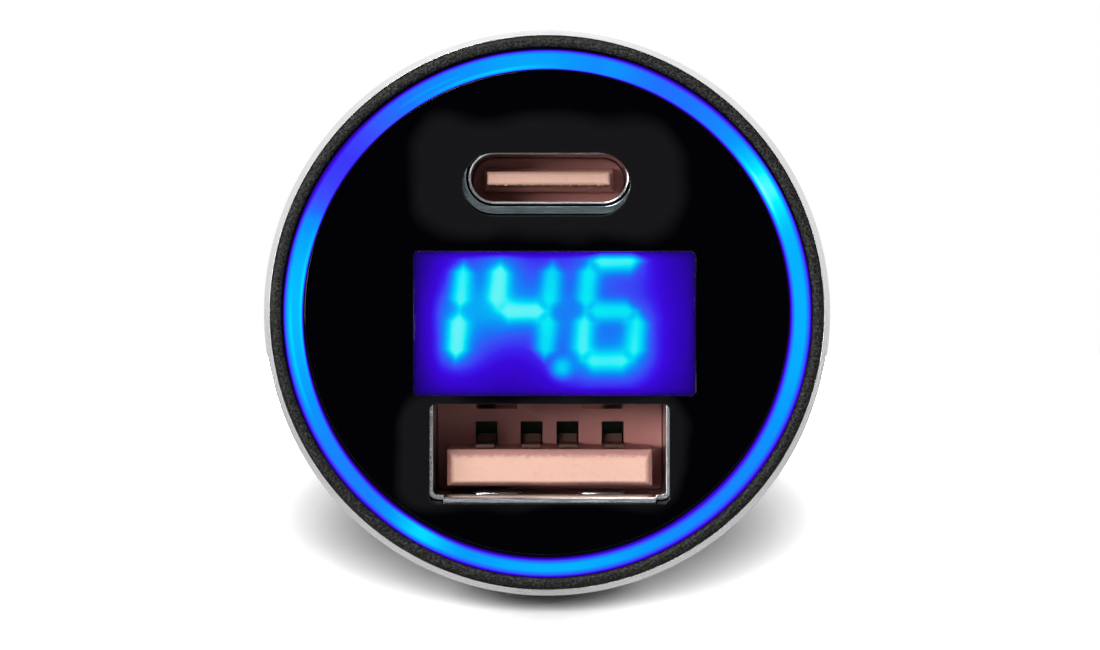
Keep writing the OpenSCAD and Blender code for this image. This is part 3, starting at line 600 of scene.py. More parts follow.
def rounded(corners, steps=6, closed=True):
    """Points of a line through corners (x, y, rounding), with an arc at each rounded corner."""
    points = []
    count = len(corners)
    for i, (x, y, r) in enumerate(corners):
        here = Vector((x, y))
        if r == 0 or (not closed and i in (0, count - 1)):
            points.append(here)
            continue
        before = (Vector(corners[i - 1][:2]) - here).normalized()
        after = (Vector(corners[(i + 1) % count][:2]) - here).normalized()
        half = before.angle(after) / 2
        reach = r / math.tan(half)
        middle = here + (before + after).normalized() * (r / math.sin(half))
        first = (here + before * reach) - middle
        sweep = first.angle_signed((here + after * reach) - middle)
        for k in range(steps + 1):
            angle = -sweep * k / steps
            turn = Vector((first.x * math.cos(angle) - first.y * math.sin(angle),
                           first.x * math.sin(angle) + first.y * math.cos(angle)))
            points.append(middle + turn)
    return points


def turned(node, corners, material, closed=True, segments=256, steps=6, body="body"):
    """Turned piece from a profile of (radius, height, rounding) in millimetres."""
    points = rounded(corners, steps, closed)
    count = len(points)
    edges = [(i, (i + 1) % count) for i in range(count if closed else count - 1)]
    mesh = bpy.data.meshes.new(node + "_profile")
    mesh.from_pydata([(p.x * MM, p.y * MM, 0) for p in points], edges, [])
    whole = cleaned(grown(linked("work", mesh), lathe, {
        "Segments": segments, "Sharp Angle": SHARP_ANGLE, "Material": material}))
    low, high = (way(v.co.y for v in whole.vertices) for way in (min, max))
    print(f"{node}: {len(whole.polygons)} faces, y {low / MM:.2f} to {high / MM:.2f} mm")
    return as_piece(node + "_piece", whole, [node], material, body)


print("edges sharper than", round(math.degrees(SHARP_ANGLE)), "degrees stay sharp")

# %% [markdown]
# ### The head, from the outside in
# The housing flares a little towards the face and ends in a bright diamond-cut chamfer. The
# bezel sits in its lip with both edges rounded. The light ring stands inside the bezel.

# %% Turn the housing and the bezel
REAR_R, REAR_ROUND, REAR_WALL = 13.4, 1.2, 1.6
ROOT_R, COLLAR_R = 10.63, 12.03
LIP_CUT, LIP_LAND = 0.3, 0.02
TAPER_BELOW_LEDGE = 1
turned("housing", [
    (ROOT_R, 0, 0), (REAR_R, 0, REAR_ROUND), (HEAD_R, LEDGE_Z - TAPER_BELOW_LEDGE, 8),
    (HEAD_R, FACE_Z - LIP_CUT, 0.05), (LIP_R + LIP_LAND, FACE_Z, 0.008), (LIP_R, FACE_Z, 0.008),
    (LIP_R, BEZEL_Z, 0), (BORE_R, BEZEL_Z, 0), (BORE_R, LEDGE_Z, 0), (COLLAR_R, LEDGE_Z, 0),
    (COLLAR_R, REAR_WALL, 0), (ROOT_R, REAR_WALL, 0),
], aluminium, segments=360)
BEZEL_TOP = top("bezel")
BEZEL_ROUND = 0.25
turned("bezel", [
    (RING_R + FIT, BEZEL_Z, 0), (LIP_R - FIT, BEZEL_Z, 0),
    (LIP_R - FIT, BEZEL_TOP, BEZEL_ROUND), (RING_R + FIT, BEZEL_TOP, BEZEL_ROUND),
], bezel_black, segments=360, steps=10)

# %% [markdown]
# ### The light ring
# Six LEDs on the board below shine up into a milky ring. They make brighter stretches, the gaps
# between them stay violet, and the moulded guide has a few thin glints. The glow at a point is a
# sum of those parts. It falls off towards both edges, and on one side of each edge a narrow band
# is painted dark, as painted shade of the bezel and the plate.

# %% How the ring glows
BRIGHT = [(30, 0.20, 9), (92, 0.09, 20), (180, 0.12, 22), (240, 0.16, 7), (272, 0.10, 26),
          (350, 0.08, 24), (20, 0.07, 24)]
GAPS = [(143, 0.13, 15), (64, 0.05, 12)]
JOINTS, JOINT_REACH, JOINT_W = [(157, 0.045), (77, -0.03)], 25, 2
GLINTS = [(0.15, 105, 14, 0.10), (0.15, 182, 20, 0.09), (0.62, 190, 14, 0.08),
          (0.40, 118, 8, 0.06), (0.30, 240, 9, 0.06), (0.25, 30, 10, 0.05)]
GLINT_W = 0.06
BASE_GLOW = 0.695
# Painted shade: the two tuples say how much of the width is left dark at each edge, where, and
# how fast.
SOFT_AT, IN_PAINTED_SHADE, OUT_PAINTED_SHADE = 300, (0.12, 255, 1.0), (0.09, 105, 0.75)
IN_FADE, OUT_FADE = (0.05, 0.26, 0.4), (0.20, 0.10, 0.3)


def turn_between(a, b):
    """Smallest turn between two directions, in degrees, with its sign."""
    return (a - b + 180) % 360 - 180


def ring_glow(angle, across):
    """Glow at a direction and at a share of the ring's width, 0 inside and 1 outside."""
    glow = BASE_GLOW
    for sign, places in ((1, BRIGHT), (-1, GAPS)):
        for place, strength, width in places:
            glow += sign * strength * math.exp(-(turn_between(angle, place) / width) ** 2)
    for place, strength in JOINTS:
        past = turn_between(angle, place)
        if abs(past) < JOINT_REACH:
            glow += strength * math.tanh(past / JOINT_W) * (1 - abs(past) / JOINT_REACH)
    for row, place, width, strength in GLINTS:
        near = math.exp(-(turn_between(angle, place) / width) ** 4)
        glow += strength * near * math.exp(-((across - row) / GLINT_W) ** 2)
    soft = 0.5 + 0.5 * math.cos(math.radians(turn_between(angle, SOFT_AT)))
    for inside, (share, place, rate), (least, more, power) in (
            (across, IN_PAINTED_SHADE, IN_FADE), (1 - across, OUT_PAINTED_SHADE, OUT_FADE)):
        painted_shade_share = share * max(0, math.cos(math.radians(rate * turn_between(angle, place))))
        glow *= min(1, max(0, (inside - painted_shade_share) / (least + more * soft))) ** power
    return glow


print("glow with", len(BRIGHT), "bright stretches and", len(GLINTS), "glints")

# %% Turn the ring and store its glow
FOOT_Z = bottom("light_ring")
RING_TOP = top("light_ring")
RING_IN = PLATE_R + FIT
STEP_Z, STEP_T = BEZEL_Z - FIT, 1.1
FRONT_ROWS = 24


def store_glow(mesh, value):
    """Stores a value per vertex, worked out from its place, as the attribute glow."""
    layer = mesh.attributes.new("glow", "FLOAT", "POINT")
    for i, vertex in enumerate(mesh.vertices):
        layer.data[i].value = value(vertex.co)


def glow_on_ring(place):
    """Glow of the light ring at a point of its mesh."""
    angle = math.degrees(math.atan2(place.z, place.x))
    across = (math.hypot(place.x, place.z) / MM - RING_IN) / (RING_R - RING_IN)
    return ring_glow(angle, min(1, max(0, across)))


rows = [(RING_R - (RING_R - RING_IN) * i / FRONT_ROWS, RING_TOP, 0)
        for i in range(1, FRONT_ROWS)]
ring = turned("light_ring", [
    (RING_IN, FOOT_Z, 0), (RING_R, FOOT_Z, 0), (RING_R, STEP_Z - STEP_T, 0),
    (BORE_R - FIT, STEP_Z - STEP_T, 0), (BORE_R - FIT, STEP_Z, 0), (RING_R, STEP_Z, 0),
    (RING_R, RING_TOP, 0.04), *rows, (RING_IN, RING_TOP, 0.04),
], ring_light, segments=720, steps=3)
store_glow(ring.data, glow_on_ring)
print("glow stored on", len(ring.data.vertices), "points")

# %% [markdown]
# ## The face and its sockets
# The plate, the window and the two sockets are copies of their solids. They are seen from close
# up, so every edge gets a fine rounding that catches a line of light. On the lower tongue the
# upper bevel is made the wider one. On the upper socket's mouth only the inner edge is rounded.

# %% Which points of the sockets are moved or rounded
NEAR = 0.01
TONGUE_FRONT = -top("usb_a_insulator")
TONGUE_BEVEL = 0.36
front_z = [v.co.z / MM for v in frame["nodes"]["usb_a_insulator"].data.vertices
           if v.co.y / MM < TONGUE_FRONT + NEAR]
TONGUE_MIDDLE = (min(front_z) + max(front_z)) / 2
TOP_DOWN, BOTTOM_DOWN, THINNER = 0.34, 0.07, 0.07
C_RIM = 0.085


def lower_tongue_front(point):
    """Makes the upper bevel of the lower tongue the wider one, and its end a little thinner."""
    depth, upper = point.y / MM - TONGUE_FRONT, point.z / MM > TONGUE_MIDDLE
    if depth < NEAR:
        point.z -= (TOP_DOWN if upper else BOTTOM_DOWN) * MM
    elif abs(depth - TONGUE_BEVEL) < 2 * NEAR:
        point.z += (-THINNER if upper else THINNER) * MM


def on_inner_rim(point):
    """True on the inner edge of the upper socket's mouth."""
    low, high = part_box("usb_c_shell")
    centre, half = (low + high) / 2, (high - low) / 2
    sideways = max(0, abs(point.x - centre.x) - (half.x - half.z))
    away = math.hypot(sideways, point.z - centre.z)
    return point.y < low.y + NEAR * MM and away < half.z - C_RIM * MM


print("tongue's front is", round(max(front_z) - min(front_z), 2), "mm high before")

# %% [markdown]
# The real edges are moulded or stamped with radii from 0.01 to 0.1 mm. Each could be modelled by
# hand, but a Bevel modifier on the copy rounds all of them alike and keeps the flats flat.

# %% Soften the plate, the window and the sockets
softened("face_plate", face_black, 0.02)
softened("display_window", window_clear, 0.01)
softened("usb_a_shell", port_steel, 0.03)
softened("usb_a_insulator", salmon, 0.06, 3, lower_tongue_front)
softened("usb_c_shield", shield_steel, 0.04)
softened("usb_c_shell", port_steel, 0.11, 3, only=on_inner_rim)
softened("usb_c_insulator", salmon, 0.05, 3)

# %% [markdown]
# ## The display
# Behind the window stands a light box with seven-segment digits. Each lit bar is an LED of its
# own, so some are a little brighter than others, and each spreads a pool of light through the
# milky front. The pools add up where they meet, as in the loop of the 6. The front and the bars
# read the same sum, so that no hard outline shows between them.

# %% The bars of the digits
DIGIT_W, BAR_W, GAP, SLANT = 2.8, 0.95, 0.14, math.tan(math.radians(5))
DIGIT_XS = [-6.08, -1.31, 3.46]
BARS_LOW, BARS_HIGH = (corner.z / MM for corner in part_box("lit_segments"))
DOT_R = 0.48
DOT_X, DOT_DROP = 0.95, 0.36
DIGIT_H = BARS_HIGH - BARS_LOW - BAR_W / 2 - DOT_DROP - DOT_R
DIGIT_Y = BARS_HIGH - BAR_W / 2 - DIGIT_H / 2
LIT = [{"b": (0.85, 0.35), "c": (0.95, 0.8)},
       {"b": (0.7, 0.25), "c": (0.75, 0.1), "f": (0.95, 0.75), "g": (0.95, 0.55)},
       {"a": (0.85, 0.6), "c": (0.75, 0.55), "d": (0.75, 0.7), "e": (0.85, 0.3),
        "f": (0.75, 0.25), "g": (0.75, 0.15)}]
DOT_LIGHT, DOT_L = (0.7, 0.1), 0.01
HALF_W, HALF_H = DIGIT_W / 2, DIGIT_H / 2
ENDS = {"a": ((-1, 1), (1, 1)), "b": ((1, 1), (1, 0)), "c": ((1, 0), (1, -1)),
        "d": ((1, -1), (-1, -1)), "e": ((-1, -1), (-1, 0)), "f": ((-1, 0), (-1, 1)),
        "g": ((-1, 0), (1, 0))}


def leaning(digit, x, y):
    """Place on the face of a point of a digit, leaning with the digits."""
    return (DIGIT_XS[digit] + x + y * SLANT, DIGIT_Y + y)


def bar_points(digit, name, pieces):
    """Points of a bar, given as (share of the way, steps along, steps across)."""
    first, last = (Vector((x * HALF_W, y * HALF_H)) for x, y in ENDS[name])
    along = (last - first).normalized()
    across = Vector((-along.y, along.x))
    points = []
    for from_last, forward, side in pieces:
        p = (last if from_last else first) + along * forward + across * side
        points.append(leaning(digit, p.x, p.y))
    return points


HALF = BAR_W / 2
OUTLINE = [(0, GAP, 0), (0, HALF + GAP, HALF), (1, -HALF - GAP, HALF),
           (1, -GAP, 0), (1, -HALF - GAP, -HALF), (0, HALF + GAP, -HALF)]
lit_bars = [(digit, name) for digit, names in enumerate(LIT) for name in names]
dot = leaning(1, HALF_W + DOT_X, -HALF_H - DOT_DROP)
print(len(lit_bars), "lit bars, digits", round(DIGIT_H, 2), "mm high")

# %% [markdown]
# Light inside milky plastic falls off smoothly round each bar. Textures would need a mask for
# every bar, so a short function works on any mesh instead: it adds a tight core and a wide pool
# for each bar, and dims the sum towards the window's edges.

# %% The light that the bars spread
LIGHT_INSET = GAP + HALF
DARKEST = 0.13
CORE_R, CORE_POWER = 0.6, 2.6
POOL_R, POOL_POWER = 1.63, 1.13
EDGE_POWER = 0.29
window_low, window_high = (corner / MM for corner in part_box("display_window"))
EDGES = [("x", window_low.x, 1, 1.45), ("x", window_high.x, -1, 0.4),
         ("z", window_low.z, 1, 0.45), ("z", window_high.z, -1, 0.4)]

bar_lights = []
for digit, name in lit_bars:
    first, last = bar_points(digit, name, [(0, LIGHT_INSET, 0), (1, -LIGHT_INSET, 0)])
    bar_lights.append((Vector(first), Vector(last) - Vector(first), LIT[digit][name]))
bar_lights.append((Vector(dot), Vector((DOT_L, 0)), DOT_LIGHT))


def display_glow(place):
    """Glow of the display at a point of its mesh."""
    here = Vector((place.x, place.z)) / MM
    unlit = 1.0
    for first, way, (core, spill) in bar_lights:
        length = way.length
        along = (here - first).dot(way) / length
        across = abs((here - first).cross(way)) / length
        past = max(0, -along, along - length)
        pointed = across + past if length > CORE_R else math.hypot(across, past)
        unlit *= 1 - core * math.exp(-(pointed / CORE_R) ** CORE_POWER)
        unlit *= 1 - spill * math.exp(-(math.hypot(across, past) / POOL_R) ** POOL_POWER)
    glow = DARKEST + (1 - DARKEST) * (1 - unlit)
    for axis, edge, sign, width in EDGES:
        inside = sign * (getattr(place, axis) / MM - edge) / width
        glow *= min(1, max(0, inside)) ** EDGE_POWER
    return glow


print("light of", len(bar_lights), "bars and points ready")

# %% [markdown]
# The bars and the box around them are flat outlines with a thickness. One tree fills such an
# outline, divides it finely enough to hold the glow, and closes it into a plate.

# %% The tree that fills an outline
plate, given, end = group("filled plate", Depth="Float", Height="Float", Level="Int")
outline = made(plate, "GeometryNodeMeshToCurve", {"Mesh": given["Geometry"]})
filled = made(plate, "GeometryNodeFillCurve", {"Curve": outline})
base, along_z = (made(plate, "ShaderNodeCombineXYZ", {"Z": given[name]})
                 for name in ("Height", "Depth"))
lifted = made(plate, "GeometryNodeTransform", {"Geometry": filled, "Translation": base})
fine = made(plate, "GeometryNodeSubdivideMesh", {"Mesh": lifted, "Level": given["Level"]})
raised = made(plate, "GeometryNodeExtrudeMesh",
              {"Mesh": fine, "Offset": along_z, "Individual": False})
back = made(plate, "GeometryNodeFlipFaces", {"Mesh": fine})
both = add(plate, "GeometryNodeJoinGeometry")
for side in (raised, back):
    plate.links.new(side, both.inputs["Geometry"])
closed = made(plate, "GeometryNodeMergeByDistance",
              {"Geometry": both.outputs["Geometry"], "Distance": MERGE})
stood = made(plate, "GeometryNodeTransform",
             {"Geometry": closed, "Rotation": (math.radians(90), 0, 0)})
close_tree(plate, stood, given, end)

# %% [markdown]
# On the real part the box and its bars are one moulding. Here both come from the same tree, with
# the bars a hair in front, because a plate of fine faces can hold the glow at every point.

# %% Make the light box and its bars
SINK = 0.02
DOT_POINTS = 24


def plate_from(loops, low, high, level):
    """Plate between two heights, from outlines of (x, y) in millimetres, with its glow."""
    points, edges = [], []
    for loop in loops:
        first, count = len(points), len(loop)
        points += [(x * MM, y * MM, 0) for x, y in loop]
        edges += [(first + i, first + (i + 1) % count) for i in range(count)]
    outlines = bpy.data.meshes.new("outlines")
    outlines.from_pydata(points, edges, [])
    mesh = grown(linked("work", outlines), plate, {
        "Height": low * MM, "Depth": (high - low) * MM, "Level": level,
        "Material": display_light})
    store_glow(mesh, display_glow)
    return mesh


circle_of_dot = [(dot[0] + DOT_R * math.cos(a), dot[1] + DOT_R * math.sin(a))
                 for a in (math.tau * i / DOT_POINTS for i in range(DOT_POINTS))]
bar_loops = [bar_points(*bar, OUTLINE) for bar in lit_bars] + [circle_of_dot]
low, high = (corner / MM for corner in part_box("display_module"))
box_loop = [(-high.x, low.z), (high.x, low.z), (high.x, high.z), (-high.x, high.z)]
box_mesh = plate_from([box_loop], bottom("display_module"), top("display_module") - SINK, 7)
bars_mesh = plate_from(bar_loops, bottom("lit_segments"), top("lit_segments"), 4)
as_piece("display_box", box_mesh, ["display_module", "unlit_segments"], display_light)
as_piece("lit_bars", bars_mesh, ["lit_segments"], display_light)
print("light box", len(box_mesh.polygons), "faces, bars", len(bars_mesh.polygons), "faces")

# %% [markdown]
# ## Contacts and pins in rows
# The contact strips, display pins and ring LEDs are the same small block repeated on a line or
# round a circle. One tree puts a rounded block on each point of a mesh, and the points carry
# the rule: their spacing is the pitch. The block is turned to face the axis where the tree is
# asked to.

# %% The tree that sets blocks on points
row, given, end = group("row of blocks", Size="Vector", Turned="Float")
block = made(row, "GeometryNodeMeshCube", {"Size": given["Size"]})
where = add(row, "ShaderNodeSeparateXYZ",
            {"Vector": made(row, "GeometryNodeInputPosition")}).outputs
heading = maths(row, "ARCTAN2", where["Z"], where["X"])
facing = made(row, "ShaderNodeCombineXYZ",
              {"Y": maths(row, "MULTIPLY", heading, given["Turned"])})
placed = made(row, "GeometryNodeInstanceOnPoints",
              {"Points": given["Geometry"], "Instance": block, "Rotation": facing})
close_tree(row, placed, given, end)


def row_piece(name, node, centres, size, edge, material, turned_to_axis=0.0):
    """Piece of equal blocks with rounded edges, their middles at (x, height, z)."""
    points = bpy.data.meshes.new("points")
    points.from_pydata([(x * MM, -h * MM, z * MM) for x, h, z in centres], [], [])
    sharp = grown(linked("work", points), row, {
        "Size": tuple(s * MM for s in size), "Turned": turned_to_axis, "Material": material})
    work = linked("work", sharp)
    add_bevel(work, edge)
    smooth = applied(work)
    smooth.shade_smooth()
    smooth.set_sharp_from_angle(angle=SHADE_ABOVE)
    as_piece(name, smooth, [node], material)
    print(f"{name}: {len(centres)} blocks")


# %% [markdown]
# The upper socket has twelve gold strips on each side of its tongue, half a millimetre apart, the
# display stands on five pins, and six LEDs face the ring. Copying one block by hand would do, but
# then each place would be a number of its own. Here the pitch, the count and the angles say it.

# %% Strips of the upper socket, pins and ring LEDs
def middle_and_size(node):
    """Middle of a node's box as (x, height, z), and its size along x, y and z."""
    low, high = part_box(node)
    centre = (low + high) / 2 / MM
    return (centre.x, -centre.y, centre.z), tuple((high - low) / MM)


STRIP_PITCH, STRIP_COUNT, STRIP_W, STRIP_T = 0.5, 12, 0.26, 0.05
STRIP_SHORTER, STRIP_SUNK = 0.5, 0.035
(mx, mh, mz), (_, strip_l, strips_h) = middle_and_size("usb_c_contacts")
strip_l, mh = strip_l - STRIP_SHORTER, mh - STRIP_SHORTER / 2
away = (strips_h - STRIP_T) / 2 - STRIP_SUNK
centres = [(mx + (i - (STRIP_COUNT - 1) / 2) * STRIP_PITCH, mh, mz + side * away)
           for i in range(STRIP_COUNT) for side in (-1, 1)]
row_piece("usb_c_strips", "usb_c_contacts", centres, (STRIP_W, strip_l, STRIP_T), 0.015, gold)

PIN_PITCH, PIN_COUNT, PIN_W = 2.54, 5, 0.5
(mx, mh, mz), (_, pin_l, _) = middle_and_size("display_pins")
centres = [(mx + (i - (PIN_COUNT - 1) / 2) * PIN_PITCH, mh, mz) for i in range(PIN_COUNT)]
row_piece("display_pin_row", "display_pins", centres, (PIN_W, pin_l, PIN_W), 0.06, gold)

LED_ANGLES = [30, 95, 180, 240, 290, 350]
LED_R, LED_T, LED_W = (RING_R + PLATE_R) / 2, 0.8, 1.6
(_, mh, _), (_, led_l, _) = middle_and_size("ring_leds")
centres = [(LED_R * math.cos(a), mh, LED_R * math.sin(a)) for a in map(math.radians, LED_ANGLES)]
row_piece("ring_led_row", "ring_leds", centres, (LED_T, led_l, LED_W), 0.05, led_white,
          -1.0)

# %% [markdown]
# ## Barrel, nose and tip
# The barrel is moulded, so its edges are rounder than those of the sockets. The two side
# contacts are bent nickel-plated leaves that hinge on pins. The tip slides in the nose cap on a
# coil spring, which gets shorter when the tip is pushed in.

# %% Soften the barrel and its contacts
softened("barrel", barrel_black, 0.12, 3)
for side in ("left", "right"):
    softened("ground_contact_" + side, nickel, 0.06, body=side + "_contact")
softened("contact_pins", nickel, 0.05)
softened("spring_seat", brass, 0.08)

# %% Turn the nose and the tip
BARREL_END = bottom("barrel")
NOSE_Z = bottom("nose_cap")
SPIGOT_TOP = top("nose_cap")
NOSE_RIM_R = radius("nose_cap")
NOSE_R, NOSE_WALL, SPIGOT_R, SPIGOT_WALL = 7.4, 1.6, 9.27, 1.25
RIM_T, RIM_WALL = 0.6, 0.4
TIP_R, SLIDE, FLANGE_R = 3.3, 0.08, radius("tip_contact")
FLANGE_ROOM, FLANGE_T = 0.6, 1.2
NOSE_FLOOR = NOSE_Z + NOSE_WALL
turned("nose_cap", [
    (TIP_R + SLIDE, NOSE_Z, 0.2), (NOSE_R, NOSE_Z, 0.5), (NOSE_RIM_R, BARREL_END - RIM_T, 0.3),
    (NOSE_RIM_R, BARREL_END, 0.08), (SPIGOT_R, BARREL_END, 0), (SPIGOT_R, SPIGOT_TOP, 0.15),
    (SPIGOT_R - SPIGOT_WALL, SPIGOT_TOP, 0.15),
    (SPIGOT_R - SPIGOT_WALL, BARREL_END - RIM_WALL, 0.2),
    (FLANGE_R + FLANGE_ROOM, NOSE_FLOOR, 0.2), (TIP_R + SLIDE, NOSE_FLOOR, 0.05),
], barrel_black)
TIP_END = bottom("tip_contact")
TIP_TOP = top("tip_contact")
FLANGE_Z = NOSE_FLOOR + FLANGE_T
GUIDE_R = 2.05
DOME, DOME_STEPS = 2.2, 14
dome = [(TIP_R * math.sin(a), TIP_END + DOME * (1 - math.cos(a)), 0)
        for a in (math.pi / 2 * i / DOME_STEPS for i in range(DOME_STEPS + 1))]
turned("tip_contact", dome + [
    (TIP_R, NOSE_FLOOR, 0), (FLANGE_R, NOSE_FLOOR, 0.08), (FLANGE_R, FLANGE_Z, 0.08),
    (GUIDE_R, FLANGE_Z, 0), (GUIDE_R, TIP_TOP, 0.3), (0, TIP_TOP, 0),
], nickel, closed=False, body="tip")

# %% [markdown]
# ### The spring
# A compression spring is wire wound on a circle, with its last turns laid flat. A curve gets
# its points from that rule: the angle grows evenly, while the height stands still over the
# first and last three quarters of a turn.

# %% The tree that winds a wire
SPRING_POINTS, WIRE_POINTS = 240, 20
wound, given, end = group("spring", Turns="Float", Coil_Radius="Float", Wire_Radius="Float",
                          Low="Float", High="Float", Closed_Turns="Float")
straight = made(wound, "GeometryNodeCurvePrimitiveLine", {"End": (0, 1, 0)})
points = made(wound, "GeometryNodeResampleCurve", {"Curve": straight, "Count": SPRING_POINTS})
turns_done = maths(wound, "MULTIPLY", made(wound, "GeometryNodeSplineParameter"), given["Turns"])
angle = maths(wound, "MULTIPLY", turns_done, math.tau)
flat_turns = maths(wound, "MULTIPLY", given["Closed Turns"], 2.0)
climb = maths(wound, "DIVIDE", maths(wound, "SUBTRACT", turns_done, given["Closed Turns"]),
              maths(wound, "SUBTRACT", given["Turns"], flat_turns), clamp=True)
rise = maths(wound, "MULTIPLY", climb, maths(wound, "SUBTRACT", given["High"], given["Low"]))
x, z = (maths(wound, "MULTIPLY", maths(wound, kind, angle), given["Coil Radius"])
        for kind in ("COSINE", "SINE"))
place = made(wound, "ShaderNodeCombineXYZ",
             {"X": x, "Y": maths(wound, "ADD", given["Low"], rise), "Z": z})
coil = made(wound, "GeometryNodeSetPosition", {"Geometry": points, "Position": place})
wire = made(wound, "GeometryNodeCurvePrimitiveCircle",
            {"Resolution": WIRE_POINTS, "Radius": given["Wire Radius"]})
drawn = made(wound, "GeometryNodeCurveToMesh",
             {"Curve": coil, "Profile Curve": wire, "Fill Caps": True})
close_tree(wound, drawn, given, end)

# %% Wind the tip spring
WIRE_R, COIL_TURNS, CLOSED_TURNS = 0.3, 5.0, 0.75
spring_low, spring_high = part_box("tip_spring")
COIL_R = spring_high.x / MM - WIRE_R
spring_mesh = grown(linked("work", bpy.data.meshes.new("empty")), wound, {
    "Turns": COIL_TURNS, "Coil Radius": COIL_R * MM, "Wire Radius": WIRE_R * MM,
    "Low": spring_low.y + WIRE_R * MM, "High": spring_high.y - WIRE_R * MM,
    "Closed Turns": CLOSED_TURNS, "Material": spring_steel})
spring_mesh = cleaned(spring_mesh)
spring_mesh.shade_smooth()
spring = as_piece("tip_spring_piece", spring_mesh, ["tip_spring"], spring_steel)
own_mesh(spring)

# %% [markdown]
# ## The parts that keep their solids
# What stands on the boards is already the right shape, so it keeps its solid and only gets its
# finish. A finer copy would show nothing more through the slots.

# %% Give the inner solids their finishes
# The lower socket's contacts take the dark colour painted as shade.
INNER = [
    (inner_black, ["face_carrier"]), (board_green, ["display_board", "port_board", "main_board"]),
    (painted_shade_contacts, ["usb_a_contacts"]), (ferrite, ["inductor"]),
    (can_aluminium, ["input_capacitor", "output_capacitors"]),
    (chip_black, ["converter_chips", "charge_controller", "surge_diode"]),
    (ceramic, ["fuse", "chip_capacitors"]),
]
for material, nodes in INNER:
    for node in nodes:
        for slot in frame["nodes"][node].material_slots:
            slot.material = material
    print(", ".join(nodes), "in", material.name)

# %% [markdown]
# ## Floor, world and lamps
# The plug lies on a plain pale floor, on the widest part of its head and the end of its barrel.
# The head is wider, so the floor is tilted a few degrees against the axis. It rises from the
# head to the barrel's end and runs level beyond it. Besides the lamps' shadows, the camera sees
# it painted grey close to the plug, as painted shadow, and whiter away from it. Behind the camera
# the room is dark, as in a studio, so that the gloss face mirrors no light into the lens.

# %% Lay the floor
FLOOR_GAP = 0.02
REST_R, REST_Z = 10.1, LEDGE_Z - TAPER_BELOW_LEDGE
FLOOR_SLOPE = (HEAD_R - REST_R) / (REST_Z - BARREL_END)
FLOOR_REACH, FRONT_REACH = 6.0, 4.0
LEVEL_FROM = -BARREL_END * MM + 0.012


def floor_height(y):
    """Height of the floor at a place along the axis, in metres."""
    held = min(max(y, -FRONT_REACH), LEVEL_FROM)
    return -(HEAD_R + FLOOR_GAP) * MM + FLOOR_SLOPE * (held + REST_Z * MM)


lines = [-FLOOR_REACH, -FRONT_REACH - 0.05, -FRONT_REACH, 0,
         *(0.04 + 0.004 * step for step in range(6)), FLOOR_REACH]
floor_points = [(x, y, floor_height(y)) for y in lines for x in (-FLOOR_REACH, FLOOR_REACH)]
floor_faces = [(2 * i, 2 * i + 1, 2 * i + 3, 2 * i + 2) for i in range(len(lines) - 1)]
floor_mesh = bpy.data.meshes.new("floor")
floor_mesh.from_pydata(floor_points, [], floor_faces)
floor_mesh.shade_smooth()
floor = linked("floor", floor_mesh)
print("floor tilted", round(math.degrees(math.atan(FLOOR_SLOPE)), 1), "degrees")

# %% [markdown]
# The floor's tone for the camera stays even and low near a point under the plug, as painted
# shadow, and grows with a power of the distance from it, counted in steps of a different length
# along and across the axis. Far away the floor shines by itself, so that it meets the white world
# without a line. Each kind of ray reads a value of its own: straight from the camera, mirrored or
# clear, and diffuse.

# %% Make the floor pale
# Painted shadow: the tone seen by the camera is low near the plug and rises away from it.
STEP_X, STEP_Y, CENTRE_STEPS = 0.0105, 0.028, 0.50
PAINTED_SHADOW_TONE_NEAR, PAINTED_SHADOW_POWER = 0.48, 2.3
TONE_MIRRORED, TONE_DIFFUSE = 0.52, 0.15
SHINE_FROM, SHINE_TO = 0.5, 1.1


def by_ray(tree, seen, mirrored, diffuse):
    """A value for each kind of ray."""
    rays = add(tree, "ShaderNodeLightPath").outputs
    sharp = maths(tree, "MAXIMUM", rays["Is Glossy Ray"], rays["Is Transmission Ray"])
    bounced = made(tree, "ShaderNodeMix", {"Factor": sharp, "A": diffuse, "B": mirrored})
    return made(tree, "ShaderNodeMix", {"Factor": rays["Is Camera Ray"], "A": bounced, "B": seen})


floor_pale_painted_shadow = bpy.data.materials.new("floor_pale_painted_shadow")
floor_pale_painted_shadow.use_nodes = True
tree = floor_pale_painted_shadow.node_tree
tree.nodes.remove(tree.nodes["Principled BSDF"])
place = object_place(tree)
steps = vector_maths(tree, "LENGTH", vector_maths(
    tree, "MULTIPLY_ADD", place, (1 / STEP_X, 1 / STEP_Y, 0), (0, -CENTRE_STEPS, 0)))
lifted_out_of_painted_shadow = maths(tree, "MAXIMUM", maths(tree, "POWER", steps, PAINTED_SHADOW_POWER), 1.0)
tone = by_ray(tree, maths(tree, "MULTIPLY", lifted_out_of_painted_shadow, PAINTED_SHADOW_TONE_NEAR), TONE_MIRRORED, TONE_DIFFUSE)
matt = made(tree, "ShaderNodeBsdfDiffuse", {"Color": tone})
bright = made(tree, "ShaderNodeEmission", {"Strength": 1.0})
beyond = remap(tree, vector_maths(tree, "LENGTH", place), 0.0, 1.0, SHINE_FROM, SHINE_TO)
both = made(tree, "ShaderNodeMixShader", {0: beyond, 1: matt, 2: bright})
tree.links.new(both, tree.nodes["Material Output"].inputs["Surface"])
floor_mesh.materials.append(floor_pale_painted_shadow)
floor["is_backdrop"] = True
print("floor's tone near the plug", PAINTED_SHADOW_TONE_NEAR)

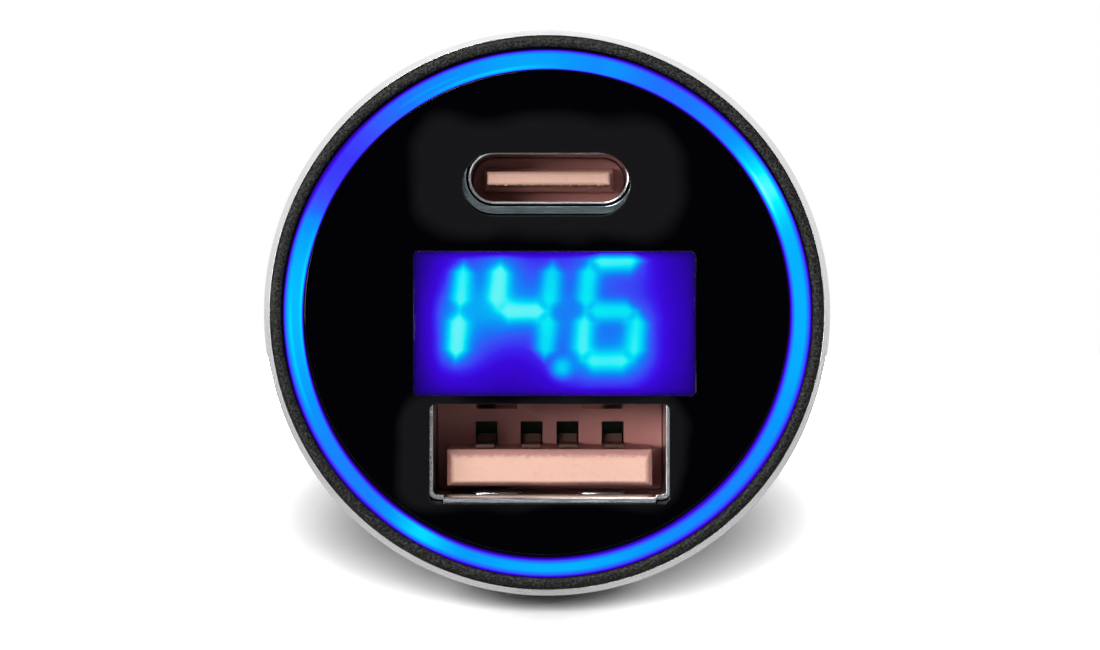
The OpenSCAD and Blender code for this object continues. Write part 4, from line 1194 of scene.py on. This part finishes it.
# %% Light the room from all around
DIFFUSE_LEVEL = 0.07
DARK_FROM, DARK_TO, DARK_ROOM = 0.3, 0.85, 0.02
LOW_SKY, HIGH_SKY, SKY_FROM = 0.76, 0.95, -0.3
world = bpy.data.worlds.new("studio")
bpy.context.scene.world = world
world.use_nodes = True
tree = world.node_tree
background = tree.nodes["Background"]
background.inputs["Color"].default_value = (1, 1, 1, 1)
way = add(tree, "ShaderNodeTexCoord").outputs["Generated"]
toward = vector_maths(tree, "DOT_PRODUCT", way, (0, -1, 0))
upward = vector_maths(tree, "DOT_PRODUCT", way, (0, 0, 1))
behind = remap(tree, toward, 1.0, DARK_ROOM, DARK_FROM, DARK_TO, interpolation_type="SMOOTHSTEP")
sky = maths(tree, "MULTIPLY", behind, remap(tree, upward, LOW_SKY, HIGH_SKY, SKY_FROM, 1.0))
tree.links.new(by_ray(tree, 1.0, sky, DIFFUSE_LEVEL), background.inputs["Strength"])
print("sky from", LOW_SKY, "to", HIGH_SKY)

# %% [markdown]
# Two groups of soft lamps share the room by light linking. Three light the part and not the
# floor: a key from the upper left, a low one for the bright line on the rim, and one above and
# behind. Four low ones light only the floor, and draw the soft shadow round the head.

# %% Set the lamps
LAMP_AWAY = 0.7
PART_LAMPS = [("key", -20, 44, 0.22, 0.22, 0.62), ("side", -36, 4, 0.40, 0.10, 0.48),
              ("top", 180, 52, 0.50, 0.50, 0.40)]
FLOOR_LAMPS = [("floor front", 0, 8, 0.24, 0.10, 2.45),
               ("floor left", -125, 28, 0.20, 0.20, 0.58),
               ("floor right", 125, 28, 0.20, 0.20, 0.58),
               ("floor back", 180, 12, 0.30, 0.15, 0.90)]
receivers = {"part": bpy.data.collections.new("all but the floor"),
             "floor": bpy.data.collections.new("only the floor")}
for collection in receivers.values():
    collection.objects.link(floor)
receivers["part"].collection_objects[0].light_linking.link_state = "EXCLUDE"
for target, lamps in (("part", PART_LAMPS), ("floor", FLOOR_LAMPS)):
    for name, azimuth, height, wide, high, brightness in lamps:
        data = bpy.data.lights.new(name, "AREA")
        data.shape = "RECTANGLE"
        data.size, data.size_y = wide, high
        data.energy = math.pi ** 2 * LAMP_AWAY ** 2 * brightness
        turn, lift = math.radians(azimuth), math.radians(height)
        thing = linked(name, data)
        thing.location = (LAMP_AWAY * math.sin(turn) * math.cos(lift),
                          -LAMP_AWAY * math.cos(turn) * math.cos(lift),
                          LAMP_AWAY * math.sin(lift))
        thing.rotation_euler = (-thing.location).to_track_quat("-Z", "Y").to_euler()
        thing.visible_camera = False
        thing.visible_glossy = thing.visible_transmission = target == "part"
        thing.light_linking.receiver_collection = receivers[target]
print("lamps:", len(PART_LAMPS), "on the part,", len(FLOOR_LAMPS), "on the floor")

# %% [markdown]
# ## Sizes
# The dressed part has to fill the same box as the solids. Its box is printed.

# %% Print the box
low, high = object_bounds()
print("box", [round(v / MM, 2) for v in high - low], "mm")
